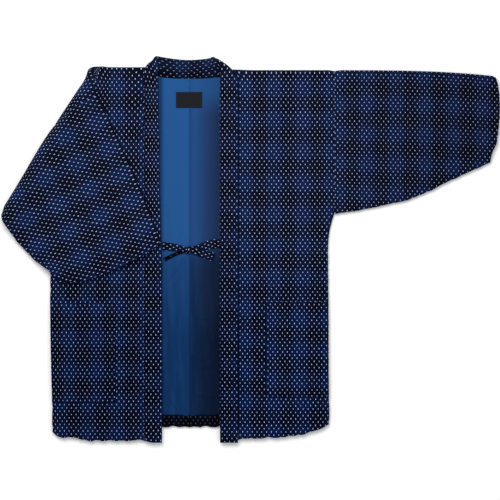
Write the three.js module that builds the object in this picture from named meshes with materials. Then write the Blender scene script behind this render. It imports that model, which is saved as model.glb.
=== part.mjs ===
// A hanten, the padded short jacket of Japan, laid flat with its left sleeve folded over the front.
// Millimetres: X to the right, Y towards the neck, Z up from the surface that it lies on.
// Left and right are the viewer's. Each piece starts as its flat pattern, takes the thickness of its
// padded cloth, and is then folded where the sewn jacket folds: shoulders, sleeve tops, collar corners
// and the sleeve that is laid over the front.
import * as THREE from "three";

// Driving dimensions: cloth
const SEAM_GAP = 0.3;
const ARMHOLE_GAP = 0.45;
const PADDED_WALL = 6;
const LAYER_SPACE = 1.8;
const COLLAR_WALL = 6.5;
const COLLAR_SPACE = 2;
const LINING_WALL = 1.2;
const POCKET_WALL = 2.4;
const FOLD_STEPS = 8;
const TOP_FOLD_STEPS = 6;

// Driving dimensions: body, measured from the centre back and the shoulder line
const BODY_LENGTH = 800;
const BODY_HALF_WIDTH = 296.4;
const ARMHOLE_HALF_WIDTH = 311;
const ARMHOLE_DEPTH = 308;
const UNDERARM = { sideAbove: 6, sideReach: 60, seamAbove: 10, seamReach: 20 };
const BACK_HEM = 767;
const BACK_HEM_AT_SIDE = 754;

// Driving dimensions: sleeve and collar
const SLEEVE_LENGTH = 344;
const SLEEVE_DROP = 13;
const CUFF = { bulge: 9.5, bulgeEnd: 0.95, lean: 0.75, corner: 8, cornerStart: 0.85 };
const BAND_WIDTH = 38.5;
const NECK_HEIGHT = 5.5;
const NECK_SAG = 7.5;
const NECK_HALF_WIDTH = 75;
const CORNER_ROOM = { below: 3, beside: 0.5, reach: 15 };
const FLARE_START = 30;
const FLARE_END = 160;

// Driving dimensions: small pieces
const LINING_TUCK = 18;
const LINING_CALM = { start: 14, reach: 12 };
const TURN_UP = { height: 26, wall: 1.8, inset: 1 };
const POCKET_EDGE = { thinning: 0.4, reach: 4 };
const TIE_WALL = 3;
const LABEL = { width: 56, height: 34, wall: 0.8, corner: 2, x: -1, y: -66 };

// How each side lies: the collar band's seam and how far it flares out at the shoulder, the height of
// the shoulder line, and the pocket differ a little from side to side
const SIDES = {
  left: { hand: -1, band: 97.4, flare: 7, shoulder: 4.3, pocketIn: 158.4, pocketTop: 500, pocketBottom: 713 },
  right: { hand: 1, band: 103.8, flare: 0, shoulder: -2, pocketIn: 163.7, pocketTop: 498, pocketBottom: 702 },
};

// Length of the front below the shoulder, by share of the way from the band seam to the side seam
const FRONT_HEM = [
  { share: 0, left: 794, right: 794 },
  { share: 0.3, left: 796, right: 790 },
  { share: 0.6, left: 795, right: 785 },
  { share: 0.8, left: 789, right: 778 },
  { share: 0.94, left: 785, right: 769 },
  { share: 1, left: 777, right: 760 },
];

// Width of the flattened sleeve from its top fold to the underarm seam, by distance from the cuff
const SLEEVE_WIDTHS = [
  { fromCuff: 0, left: 226, right: 181 },
  { fromCuff: 24, left: 239, right: 194 },
  { fromCuff: 60, left: 254, right: 210 },
  { fromCuff: 107, left: 273, right: 234 },
  { fromCuff: 150, left: 286, right: 256 },
  { fromCuff: 190, left: 293, right: 273 },
  { fromCuff: 235, left: 300, right: 287 },
  { fromCuff: 290, left: 304, right: 300 },
  { fromCuff: SLEEVE_LENGTH, left: 308, right: 308 },
];

// Where the lining has its long soft folds: middle, length, width, height and lean from the upright
const LINING_FOLDS = [
  { x: -34, y: -585, length: 270, width: 20, height: 2.6, lean: 3 },
  { x: -13, y: -625, length: 200, width: 15, height: 2, lean: -4 },
  { x: 17, y: -570, length: 290, width: 17, height: 2.6, lean: 3 },
  { x: 41, y: -590, length: 200, width: 18, height: 2.4, lean: 9 },
  { x: -30, y: -452, length: 70, width: 12, height: 2, lean: -35 },
  { x: -40, y: -240, length: 260, width: 22, height: 1.8, lean: 1 },
  { x: 33, y: -260, length: 240, width: 20, height: 1.8, lean: -2 },
];

// Routes of the ties along their middle, from the band's edge through the crossing to the free end
const LEFT_TIE = [
  { x: -58.5, y: -379, z: 11.8, width: 15 },
  { x: -50, y: -379.2, z: 11.6, width: 15 },
  { x: -38, y: -381, z: 11.4, width: 14 },
  { x: -25, y: -383, z: 12.2, width: 12 },
  { x: -13, y: -385, z: 13.2, width: 9.5 },
  { x: -1, y: -387, z: 13.6, width: 8 },
  { x: 10, y: -389.5, z: 13.5, width: 9.5 },
  { x: 22, y: -393, z: 12.8, width: 12 },
  { x: 36, y: -397.5, z: 10.8, width: 13 },
  { x: 52, y: -403, z: 9.8, width: 13 },
];
const RIGHT_TIE = [
  { x: 64.9, y: -373.5, z: 11.8, width: 14 },
  { x: 54, y: -373.8, z: 11.4, width: 14 },
  { x: 40, y: -377, z: 10.4, width: 13 },
  { x: 26, y: -381, z: 9.8, width: 11 },
  { x: 12, y: -384.5, z: 9.6, width: 9 },
  { x: -1, y: -387, z: 9.6, width: 8 },
  { x: -14, y: -390.5, z: 9.6, width: 7.5 },
  { x: -28, y: -395.5, z: 9.6, width: 7.5 },
  { x: -42, y: -402, z: 9.6, width: 8 },
  { x: -54, y: -408, z: 9.6, width: 8.5 },
];

// Edges of the padded cloth: how far a seam's pinch, a seam's groove and a hem's rounding reach
const EDGE_STEPS = [0, 2.5, 7, 18];
const PINCH = { reach: EDGE_STEPS[3], wall: 2.5 };
const GROOVE = { reach: 9, depth: 1.1 };
const HEM = { reach: EDGE_STEPS[2], thinning: 0.45 };

// Heights of the stack, worked out from the walls
const FOLD_AXIS = PADDED_WALL + LAYER_SPACE / 2;
const FRONT_TOP = 2 * FOLD_AXIS;
const LINING_BOTTOM = PADDED_WALL + SEAM_GAP;
const LINING_TOP = LINING_BOTTOM + LINING_WALL;
const COLLAR_AXIS = COLLAR_WALL + COLLAR_SPACE / 2;
const BAND_TOP = 2 * COLLAR_AXIS;

// Pattern columns beside the centre back seam, those that the body and the collar share behind the neck,
// and rows along the armhole
const CENTRE_COLUMNS = [SEAM_GAP / 2, 3, GROOVE.reach];
const NECK_COLUMNS = [25, 50, NECK_HALF_WIDTH];
const ARMHOLE_ROWS = [80, 160, 240, ...EDGE_STEPS.map((step) => ARMHOLE_DEPTH - step).reverse()];

// Pattern rows across a top fold, one for each step of its turn
const TOP_FOLD_ROWS = Array.from({ length: TOP_FOLD_STEPS + 1 }, (_, step) =>
  FOLD_AXIS * ((2 * step) / TOP_FOLD_STEPS - 1));

// The sleeve fold: its outer edge runs down and out from the shoulder, and its soft roll takes up cloth
const SLEEVE_FOLD = {
  edge: new THREE.Vector3(-208.2, 4.3, 0),
  outward: new THREE.Vector3(-0.845, 0.5347, 0).normalize(),
  axis: FRONT_TOP + 4,
  roomTaken: 45,
  slide: -10,
  settleReach: 70,
  restHeight: BAND_TOP + 0.8,
  sag: 12,
  sagReach: 55,
};

const CLOTH = { roughness: 0.95, metalness: 0 };
const outerCloth = () => new THREE.MeshStandardMaterial({ color: 0x131c3e, ...CLOTH });
const liningCloth = () => new THREE.MeshStandardMaterial({ color: 0x1f62a8, ...CLOTH });
const labelCloth = () => new THREE.MeshStandardMaterial({ color: 0x0b0b0e, ...CLOTH });

// Smooth rise from 0 to 1
function ease(value) {
  return THREE.MathUtils.smoothstep(value, 0, 1);
}

// Value of one column of a table at a key, on a smooth curve through the rows
function tableValue(table, keyName, key, column) {
  const last = table.length - 1;
  let row = 0;
  while (row < last - 1 && table[row + 1][keyName] < key) {
    row += 1;
  }
  const [from, to] = [table[row], table[row + 1]];
  const [before, after] = [table[Math.max(row - 1, 0)], table[Math.min(row + 2, last)]];
  const span = to[keyName] - from[keyName];
  const share = THREE.MathUtils.clamp((key - from[keyName]) / span, 0, 1);
  const startSlope = (to[column] - before[column]) / (to[keyName] - before[keyName]);
  const endSlope = (after[column] - from[column]) / (after[keyName] - from[keyName]);
  const left = 1 - share;
  return from[column] * (1 + 2 * share) * left * left
    + to[column] * (3 - 2 * share) * share * share
    + startSlope * span * share * left * left
    - endSlope * span * share * share * left;
}

// Closed wall of cloth over a grid of pattern points, between an outer face below and an inner face above.
// Its edges are split the same way all round, so that two walls that meet at a seam turn alike in a fold.
function clothWall({ columns, rows, patternAt, wallAt, isKept = () => true }) {
  const solid = { points: [], faces: [] };
  const numbers = new Map();
  const numberOf = (column, row, face) => {
    const key = `${column} ${row} ${face}`;
    if (!numbers.has(key)) {
      const { x, y } = patternAt(column, row);
      numbers.set(key, solid.points.length);
      solid.points.push(new THREE.Vector3(x, y, wallAt(x, y)[face]));
    }
    return numbers.get(key);
  };
  const addQuad = (a, b, c, d) => solid.faces.push([a, b, c], [a, c, d]);
  const isCloth = (column, row) =>
    column >= 0 && row >= 0 && column < columns - 1 && row < rows - 1 && isKept(column, row);
  for (let column = 0; column < columns - 1; column += 1) {
    for (let row = 0; row < rows - 1; row += 1) {
      if (!isCloth(column, row)) {
        continue;
      }
      const corners = [[column, row], [column + 1, row], [column + 1, row + 1], [column, row + 1]];
      const neighbours = [[column, row - 1], [column + 1, row], [column, row + 1], [column - 1, row]];
      const outer = corners.map(([i, j]) => numberOf(i, j, "outer"));
      const inner = corners.map(([i, j]) => numberOf(i, j, "inner"));
      addQuad(...inner);
      addQuad(outer[0], outer[3], outer[2], outer[1]);
      neighbours.forEach(([i, j], side) => {
        if (isCloth(i, j)) {
          return;
        }
        const next = (side + 1) % corners.length;
        if (side < 2) {
          addQuad(outer[side], outer[next], inner[next], inner[side]);
        } else {
          addQuad(outer[next], inner[next], inner[side], outer[side]);
        }
      });
    }
  }
  return solid;
}

// The same solid with every triangle cut where a measure of its points passes the given values
function slicedSolid(solid, measure, values) {
  const SNAP = 0.02;
  const points = [...solid.points];
  const heights = points.map((point) => {
    const height = measure(point);
    return values.find((value) => Math.abs(height - value) < SNAP) ?? height;
  });
  const crossings = new Map();
  const crossing = (a, b, value) => {
    const [low, high] = a < b ? [a, b] : [b, a];
    const key = `${low} ${high} ${value}`;
    if (!crossings.has(key)) {
      const share = (value - heights[low]) / (heights[high] - heights[low]);
      crossings.set(key, points.length);
      points.push(points[low].clone().lerp(points[high], share));
      heights.push(value);
    }
    return crossings.get(key);
  };
  const bounds = [-Infinity, ...values, Infinity];
  const faces = [];
  for (const face of solid.faces) {
    const faceHeights = face.map((point) => heights[point]);
    const [lowest, highest] = [Math.min(...faceHeights), Math.max(...faceHeights)];
    const passed = values.filter((value) => value > lowest && value < highest);
    if (passed.length === 0) {
      faces.push(face);
      continue;
    }
    const ring = face.flatMap((start, corner) => {
      const end = face[(corner + 1) % face.length];
      const [from, to] = [heights[start], heights[end]];
      const between = passed.filter((value) => (value - from) * (value - to) < 0);
      return [start, ...(from < to ? between : between.reverse()).map((value) => crossing(start, end, value))];
    });
    for (let slab = 1; slab < bounds.length; slab += 1) {
      const part = ring.filter((point) => heights[point] >= bounds[slab - 1] && heights[point] <= bounds[slab]);
      const order = (point) => heights[point] + points[point].z * SNAP;
      const first = part.indexOf([...part].sort((a, b) => order(a) - order(b))[0]);
      const fan = [...part.slice(first), ...part.slice(0, first)];
      for (let corner = 2; corner < fan.length; corner += 1) {
        faces.push([fan[0], fan[corner - 1], fan[corner]]);
      }
    }
  }
  return { points, faces };
}

// Turn the cloth that reaches past a fold up and over on a round fold
function foldOver(solid, fold) {
  const { edge, outward, axis, takeUp, steps = FOLD_STEPS, slide = 0, settle = () => 0 } = fold;
  const along = new THREE.Vector3(-outward.y, outward.x, 0);
  const reach = (point) => (point.x - edge.x) * outward.x + (point.y - edge.y) * outward.y + axis;
  const cuts = Array.from({ length: steps + 1 }, (_, step) => (takeUp * step) / steps);
  const cut = slicedSolid(solid, reach, cuts);
  const points = cut.points.map((point) => {
    const distance = reach(point);
    if (distance <= 0) {
      return point;
    }
    const share = Math.min(distance / takeUp, 1);
    const past = Math.max(distance - takeUp, 0);
    const radius = axis - point.z;
    const place = radius * Math.sin(Math.PI * share) - past;
    const moved = point.clone();
    moved.addScaledVector(outward, place - distance);
    moved.addScaledVector(along, slide * ease(share));
    moved.z = axis - radius * Math.cos(Math.PI * share);
    moved.z -= settle(moved, past);
    return moved;
  });
  return { points, faces: cut.faces };
}

// Fold along a line of the cloth that lies on the X axis, front over back
function foldAtTop(solid) {
  const upward = new THREE.Vector3(0, 1, 0);
  return foldOver(solid, {
    edge: new THREE.Vector3(),
    outward: upward,
    axis: FOLD_AXIS,
    takeUp: 2 * FOLD_AXIS,
    steps: TOP_FOLD_STEPS,
  });
}

// Lay the part of the left side that lies past the sleeve fold over the front
function foldSleeve(solid) {
  const { axis, roomTaken, restHeight, settleReach, sag, sagReach } = SLEEVE_FOLD;
  const turnedBottom = 2 * axis - FRONT_TOP;
  const settle = (point, past) => {
    const pastSide = -BODY_HALF_WIDTH - point.x;
    const belowSleeve = -ARMHOLE_DEPTH - point.y;
    const unsupported = Math.max(Math.min(pastSide, belowSleeve), 0);
    return (turnedBottom - restHeight) * ease(past / settleReach) + sag * ease(unsupported / sagReach);
  };
  return foldOver(solid, { ...SLEEVE_FOLD, takeUp: 2 * axis + roomTaken, settle });
}

// The same solid seen in a mirror across the centre back
function mirrored(solid) {
  const points = solid.points.map((point) => new THREE.Vector3(-point.x, point.y, point.z));
  return { points, faces: solid.faces.map(([a, b, c]) => [a, c, b]) };
}

function movedPoints(solid, move) {
  return { points: solid.points.map(move), faces: solid.faces };
}

function pieceMesh(name, solid, material) {
  const geometry = new THREE.BufferGeometry().setFromPoints(solid.points);
  geometry.setIndex(solid.faces.flat());
  geometry.computeVertexNormals();
  const mesh = new THREE.Mesh(geometry, material);
  mesh.name = name;
  return mesh;
}

// Faces of a padded wall: pinched where front and back are sewn together, with a groove
// along other seams, and thinned to a round edge at a hem
function paddedWall({ pinchGap = Infinity, pinchShare = 1, seamGap = Infinity, hemGap = Infinity }) {
  const pinch = pinchShare * (1 - ease(pinchGap / PINCH.reach));
  const groove = (1 - pinch) * (1 - ease(seamGap / GROOVE.reach));
  const hem = 1 - ease(hemGap / HEM.reach);
  const thinning = (1 - pinch * (1 - PINCH.wall / PADDED_WALL)) * (1 - hem * HEM.thinning);
  const halfWall = (PADDED_WALL / 2) * thinning;
  const sewnMiddle = FOLD_AXIS - SEAM_GAP / 2 - PINCH.wall / 2;
  const middle = THREE.MathUtils.lerp(PADDED_WALL / 2, sewnMiddle, pinch);
  return { outer: middle - halfWall + GROOVE.depth * groove, inner: middle + halfWall };
}

// Half width of the body at a distance below the shoulder: wider along the armhole
function bodySide(drop) {
  const belowArmhole = ease((drop - ARMHOLE_DEPTH + UNDERARM.sideAbove) / UNDERARM.sideReach);
  return THREE.MathUtils.lerp(ARMHOLE_HALF_WIDTH, BODY_HALF_WIDTH, belowArmhole);
}

// Share of the collar band's flare that is left at a distance below the shoulder
function flareShare(drop) {
  return 1 - THREE.MathUtils.clamp((drop - FLARE_START) / (FLARE_END - FLARE_START), 0, 1);
}

// Distance of the collar band's seam from the centre back
function bandSeam(side, drop) {
  const { band, flare } = SIDES[side];
  return band + flare * flareShare(drop);
}

function frontHem(side, x) {
  const { band } = SIDES[side];
  const share = (x - band) / (BODY_HALF_WIDTH - band);
  return tableValue(FRONT_HEM, "share", share, side);
}

function backHem(x) {
  return THREE.MathUtils.lerp(BACK_HEM, BACK_HEM_AT_SIDE, ease(x / BODY_HALF_WIDTH));
}

// Middle of the collar where it passes behind the neck, lowest at the centre back
function neckMiddle(x) {
  const share = Math.min(Math.abs(x) / NECK_HALF_WIDTH, 1);
  return NECK_HEIGHT - (NECK_SAG * (1 + Math.cos(Math.PI * share))) / 2;
}

// Edge of the back along the neck, with room below the collar's folded corners
function neckSeam(x) {
  const room = CORNER_ROOM.below * ease((Math.abs(x) - NECK_HALF_WIDTH) / CORNER_ROOM.reach);
  return neckMiddle(x) - BAND_WIDTH / 2 - SEAM_GAP - room;
}

// One half of the body: back and front in one length of cloth over the shoulder
function bodyPiece(side) {
  const { shoulder } = SIDES[side];
  const frontEdge = (drop) => bandSeam(side, drop) + SEAM_GAP + CORNER_ROOM.beside * flareShare(drop);
  const columnsAt = (drop) => {
    const [start, end] = [frontEdge(drop), bodySide(drop)];
    const [panelStart, panelEnd] = [start + GROOVE.reach, end - PINCH.reach];
    const across = [0.25, 0.5, 0.75].map((share) => THREE.MathUtils.lerp(panelStart, panelEnd, share));
    const sideSteps = EDGE_STEPS.map((step) => end - step).reverse();
    return [...CENTRE_COLUMNS, ...NECK_COLUMNS, start, start + 3, panelStart, ...across, ...sideSteps];
  };
  const neckColumn = CENTRE_COLUMNS.length + NECK_COLUMNS.length;
  const hemSteps = EDGE_STEPS.slice(0, 3);
  const drops = [FLARE_START, ...ARMHOLE_ROWS, 325, 350, 380, 470, 570, 670, 740];
  const rowsAt = (x) => [
    ...hemSteps.map((step) => step - backHem(x)),
    ...drops.map((drop) => -drop).reverse(),
    neckSeam(x) - shoulder,
    ...TOP_FOLD_ROWS,
    ...drops,
    ...hemSteps.map((step) => frontHem(side, x) - step).reverse(),
  ];
  const neckRow = hemSteps.length + drops.length;
  const patternAt = (column, row) => {
    const drop = Math.abs(rowsAt(frontEdge(0))[row]);
    const x = columnsAt(drop)[column];
    return { x, y: rowsAt(x)[row] };
  };
  const neckGap = (x, y) => (x > frontEdge(0) ? Infinity : Math.abs(neckSeam(x) - shoulder - y));
  const wallAt = (x, y) => {
    const drop = Math.abs(y);
    const isFront = y > 0;
    const sideGap = bodySide(drop) - x;
    return paddedWall({
      pinchGap: sideGap,
      pinchShare: ease((drop - ARMHOLE_DEPTH + UNDERARM.seamAbove) / UNDERARM.seamReach),
      seamGap: Math.min(sideGap, isFront ? x - frontEdge(drop) : x, isFront ? Infinity : neckGap(x, y)),
      hemGap: isFront ? frontHem(side, x) - drop : backHem(x) - drop,
    });
  };
  const isKept = (column, row) => column >= neckColumn || row < neckRow;
  const flat = clothWall({
    columns: columnsAt(0).length,
    rows: rowsAt(0).length,
    patternAt,
    wallAt,
    isKept,
  });
  return movedPoints(foldAtTop(flat), ({ x, y, z }) =>
    new THREE.Vector3(x, y + shoulder * ease((BODY_LENGTH + y) / (BODY_LENGTH - ARMHOLE_DEPTH)), z));
}

// Reach of the cuff past its corners, by share of the way from the top fold to the underarm seam
function cuffReach(share) {
  const bulge = CUFF.bulge * Math.sin(Math.PI * Math.min(share / CUFF.bulgeEnd, 1) ** CUFF.lean);
  return bulge - CUFF.corner * ease((share - CUFF.cornerStart) / (1 - CUFF.cornerStart));
}

// A sleeve: one piece folded along its top, with its back and front sewn together under the arm
function sleevePiece(side) {
  const { shoulder } = SIDES[side];
  const start = ARMHOLE_HALF_WIDTH + ARMHOLE_GAP;
  const lengthwise = [0.15, 0.3, 0.45, 0.6, 0.75, 0.88];
  const crosswise = ARMHOLE_ROWS.slice(0, 3).map((drop) => drop / ARMHOLE_DEPTH).reverse();
  const columns = [
    ...[0, 3, GROOVE.reach].map((step) => ({ share: 0, step })),
    ...lengthwise.map((share) => ({ share, step: 0 })),
    ...EDGE_STEPS.slice(0, 3).reverse().map((step) => ({ share: 1, step: -step })),
  ];
  const halfRows = [
    ...EDGE_STEPS.map((step) => ({ share: 1, step })),
    ...crosswise.map((share) => ({ share, step: 0 })),
  ];
  const rows = [
    ...halfRows.map(({ share, step }) => ({ share: -share, step })),
    ...TOP_FOLD_ROWS.map((height) => ({ share: 0, step: height })),
    ...halfRows.map(({ share, step }) => ({ share, step: -step })).reverse(),
  ];
  const widthAt = (x) => tableValue(SLEEVE_WIDTHS, "fromCuff", start + SLEEVE_LENGTH - x, side);
  const cuffAt = (across) => start + SLEEVE_LENGTH + cuffReach(across);
  const patternAt = (column, row) => {
    const { share, step } = columns[column];
    const across = Math.abs(rows[row].share + rows[row].step / ARMHOLE_DEPTH);
    const x = THREE.MathUtils.lerp(start, cuffAt(across), share) + step;
    return { x, y: rows[row].share * widthAt(x) + rows[row].step };
  };
  const wallAt = (x, y) => {
    const width = widthAt(x);
    const across = Math.min(Math.abs(y) / width, 1);
    return paddedWall({ pinchGap: width - Math.abs(y), seamGap: x - start, hemGap: cuffAt(across) - x });
  };
  const flat = clothWall({ columns: columns.length, rows: rows.length, patternAt, wallAt });
  return movedPoints(foldAtTop(flat), ({ x, y, z }) =>
    new THREE.Vector3(x, y + shoulder - (SLEEVE_DROP * (x - start)) / SLEEVE_LENGTH, z));
}

// The collar: one long band that passes behind the neck and turns down both fronts on diagonal folds
function collarPiece() {
  const corners = ["left", "right"].map((side) => {
    const { hand, flare } = SIDES[side];
    return { hand, flare, x: hand * (bandSeam(side, 0) - BAND_WIDTH / 2) };
  });
  const ended = BODY_LENGTH;
  const drops = [FLARE_START, FLARE_END, 280, 400, 520, 640, 740, ended - HEM.reach, ended - 2.5, ended];
  const stations = [
    ...drops.map((drop) => corners[0].x - drop - NECK_HEIGHT).reverse(),
    ...NECK_COLUMNS.map((x) => -x).reverse(),
    0,
    ...NECK_COLUMNS,
    ...drops.map((drop) => corners[1].x + drop + NECK_HEIGHT),
  ];
  const across = [-1, -0.86, -0.5, 0.5, 0.86, 1];
  const ends = [stations[0], stations[stations.length - 1]];
  const stripMiddle = (x) => {
    const { flare, x: cornerX } = corners[x < 0 ? 0 : 1];
    const drop = Math.abs(x) - Math.abs(cornerX) - NECK_HEIGHT;
    return neckMiddle(x) + flare * (1 - flareShare(drop));
  };
  const patternAt = (column, row) => ({
    x: stations[column],
    y: stripMiddle(stations[column]) + (across[row] * BAND_WIDTH) / 2,
  });
  const wallAt = (x, y) => {
    const edgeGap = BAND_WIDTH / 2 - Math.abs(y - stripMiddle(x));
    const endGap = Math.min(x - ends[0], ends[1] - x);
    const thinning = 1 - HEM.thinning * (1 - ease(Math.min(edgeGap, endGap) / HEM.reach));
    const halfWall = (COLLAR_WALL / 2) * thinning;
    return { outer: COLLAR_WALL / 2 - halfWall, inner: COLLAR_WALL / 2 + halfWall };
  };
  const flat = clothWall({ columns: stations.length, rows: across.length, patternAt, wallAt });
  return corners.reduce((solid, { hand, x }) => foldOver(solid, {
    edge: new THREE.Vector3(x, NECK_HEIGHT, 0),
    outward: new THREE.Vector3(hand, 1, 0).normalize(),
    axis: COLLAR_AXIS,
    takeUp: 2 * COLLAR_AXIS,
  }), flat);
}

// Height of the lining's soft folds above its flat lie
function liningLift(x, y) {
  return LINING_FOLDS.reduce((lift, fold) => {
    const lean = THREE.MathUtils.degToRad(fold.lean);
    const along = (y - fold.y) * Math.cos(lean) - (x - fold.x) * Math.sin(lean);
    const across = (x - fold.x) * Math.cos(lean) + (y - fold.y) * Math.sin(lean);
    const fade = ease(2 * (1 - Math.abs(along) / (fold.length / 2)));
    return lift + fold.height * fade * Math.exp(-((across / (fold.width / 2)) ** 2));
  }, 0);
}

// A thin layer on the back between the centre seam and a tuck under the band, from one height to another
function innerLayer({ side, rows, bottomAt, topAt, wall, rise }) {
  const { hand, band } = SIDES[side];
  const free = band - BAND_WIDTH;
  const columns = [SEAM_GAP / 2, 5, 11, 17, 24, 31, 38, 45, 52, free, free + LINING_TUCK];
  const patternAt = (column, row) => {
    const x = columns[column];
    return { x, y: THREE.MathUtils.lerp(bottomAt(x), topAt(x), row / (rows - 1)) };
  };
  const wallAt = (x, y) => {
    const fadeOut = 1 - ease((x - free + LINING_CALM.start) / LINING_CALM.reach);
    const lift = rise(hand * x, y) * fadeOut;
    return { outer: LINING_BOTTOM + lift, inner: LINING_BOTTOM + lift + wall };
  };
  return clothWall({ columns: columns.length, rows, patternAt, wallAt });
}

function liningPiece(side) {
  return innerLayer({
    side,
    rows: 19,
    bottomAt: (x) => TURN_UP.height - backHem(x) + SEAM_GAP,
    topAt: (x) => neckSeam(x),
    wall: LINING_WALL,
    rise: liningLift,
  });
}

// The strip of outer cloth turned up inside the back hem
function turnUpPiece(side) {
  return innerLayer({
    side,
    rows: 3,
    bottomAt: (x) => TURN_UP.inset - backHem(x),
    topAt: (x) => TURN_UP.height - backHem(x),
    wall: TURN_UP.wall,
    rise: () => 0,
  });
}

// A patch pocket on the front, one edge caught in the side seam
function pocketPiece(side) {
  const { pocketIn, pocketTop, pocketBottom } = SIDES[side];
  const flatEnd = BODY_HALF_WIDTH - PINCH.reach;
  const columns = [
    ...[0, 4, 12].map((step) => pocketIn + step),
    ...[0.4, 0.7].map((share) => THREE.MathUtils.lerp(pocketIn, flatEnd, share)),
    ...EDGE_STEPS.map((step) => BODY_HALF_WIDTH - step).reverse(),
  ];
  const shares = [0, 0.02, 0.06, 0.25, 0.5, 0.75, 0.94, 0.98, 1];
  const patternAt = (column, row) => ({
    x: columns[column],
    y: -THREE.MathUtils.lerp(pocketBottom, pocketTop, shares[row]),
  });
  const wallAt = (x, y) => {
    const front = paddedWall({ pinchGap: BODY_HALF_WIDTH - x });
    const edgeGap = Math.min(x - pocketIn, -y - pocketTop, y + pocketBottom);
    const thinning = 1 - POCKET_EDGE.thinning * (1 - ease(edgeGap / POCKET_EDGE.reach));
    const bottom = FRONT_TOP - front.outer + SEAM_GAP;
    return { outer: bottom, inner: bottom + POCKET_WALL * thinning };
  };
  return clothWall({ columns: columns.length, rows: shares.length, patternAt, wallAt });
}

// A flat tie with rounded edges along its route
function tiePiece(route) {
  const curve = new THREE.CatmullRomCurve3(route.map(({ x, y, z }) => new THREE.Vector3(x, y, z)));
  const lastRow = route.length - 1;
  const stations = 2 * lastRow;
  const section = [[-0.5, -0.2], [-0.4, -0.5], [0.4, -0.5], [0.5, -0.2],
    [0.5, 0.2], [0.4, 0.5], [-0.4, 0.5], [-0.5, 0.2]];
  const solid = { points: [], faces: [] };
  for (let station = 0; station <= stations; station += 1) {
    const share = station / stations;
    const middle = curve.getPoint(share);
    const ahead = curve.getTangent(share);
    const row = Math.min(Math.floor(share * lastRow), lastRow - 1);
    const width = THREE.MathUtils.lerp(route[row].width, route[row + 1].width, share * lastRow - row);
    const sideways = new THREE.Vector3(-ahead.y, ahead.x, 0).normalize();
    section.forEach(([across, up]) => {
      const point = middle.clone().addScaledVector(sideways, across * width);
      point.z += up * TIE_WALL;
      solid.points.push(point);
    });
  }
  const sides = section.length;
  for (let station = 0; station < stations; station += 1) {
    for (let side = 0; side < sides; side += 1) {
      const [a, b] = [station * sides + side, station * sides + ((side + 1) % sides)];
      solid.faces.push([a, b + sides, a + sides], [a, b, b + sides]);
    }
  }
  const lastRing = stations * sides;
  for (let side = 1; side < sides - 1; side += 1) {
    solid.faces.push([0, side + 1, side], [lastRing, lastRing + side, lastRing + side + 1]);
  }
  return solid;
}

// The plain woven label, sewn to the lining below the neck
function labelMesh() {
  const { width, height, wall, corner, x, y } = LABEL;
  const [right, top] = [width / 2, height / 2];
  const outline = new THREE.Shape();
  outline.moveTo(-right + corner, -top);
  outline.lineTo(right - corner, -top);
  outline.quadraticCurveTo(right, -top, right, -top + corner);
  outline.lineTo(right, top - corner);
  outline.quadraticCurveTo(right, top, right - corner, top);
  outline.lineTo(-right + corner, top);
  outline.quadraticCurveTo(-right, top, -right, top - corner);
  outline.lineTo(-right, -top + corner);
  outline.quadraticCurveTo(-right, -top, -right + corner, -top);
  const geometry = new THREE.ExtrudeGeometry(outline, { depth: wall, bevelEnabled: false, curveSegments: 3 });
  const mesh = new THREE.Mesh(geometry, labelCloth());
  mesh.position.set(x, y, LINING_TOP + SEAM_GAP);
  mesh.name = "label";
  return mesh;
}

const sidePieces = [
  { name: "body", build: bodyPiece, cloth: outerCloth },
  { name: "sleeve", build: sleevePiece, cloth: outerCloth },
  { name: "lining", build: liningPiece, cloth: liningCloth },
  { name: "hem_turnup", build: turnUpPiece, cloth: outerCloth },
  { name: "pocket", build: pocketPiece, cloth: outerCloth },
];

const jacket = new THREE.Group();
for (const { name, build, cloth } of sidePieces) {
  const left = mirrored(build("left"));
  jacket.add(pieceMesh(`${name}_left`, foldSleeve(left), cloth()));
  jacket.add(pieceMesh(`${name}_right`, build("right"), cloth()));
}
jacket.add(pieceMesh("collar", collarPiece(), outerCloth()));
jacket.add(pieceMesh("tie_left", tiePiece(LEFT_TIE), outerCloth()));
jacket.add(pieceMesh("tie_right", tiePiece(RIGHT_TIE), outerCloth()));
jacket.add(labelMesh());

// Origin at the middle of the jacket's outline, on the surface
const box = new THREE.Box3().setFromObject(jacket);
const middle = box.getCenter(new THREE.Vector3());
jacket.position.set(-middle.x, -middle.y, -box.min.z);

export default jacket;
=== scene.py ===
"""A hanten, the padded short jacket of Japan, laid flat with its left sleeve folded over the front.

The cut is worked out in millimetres, as a tailor marks it: x runs out from the centre back, y up
from the shoulder line towards the neck, and z up from the surface. Each piece starts as its flat
pattern, gets the thickness and the soft relief of its padding, and is then folded as the sewn jacket
is. Left and right are the viewer's.
"""

import logging
import math
from dataclasses import dataclass, field
from enum import Enum
from typing import Callable

import bmesh
import bpy
from bpy.types import Material, Node, NodeSocket, Object
from mathutils import Matrix, Vector, noise


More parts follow.
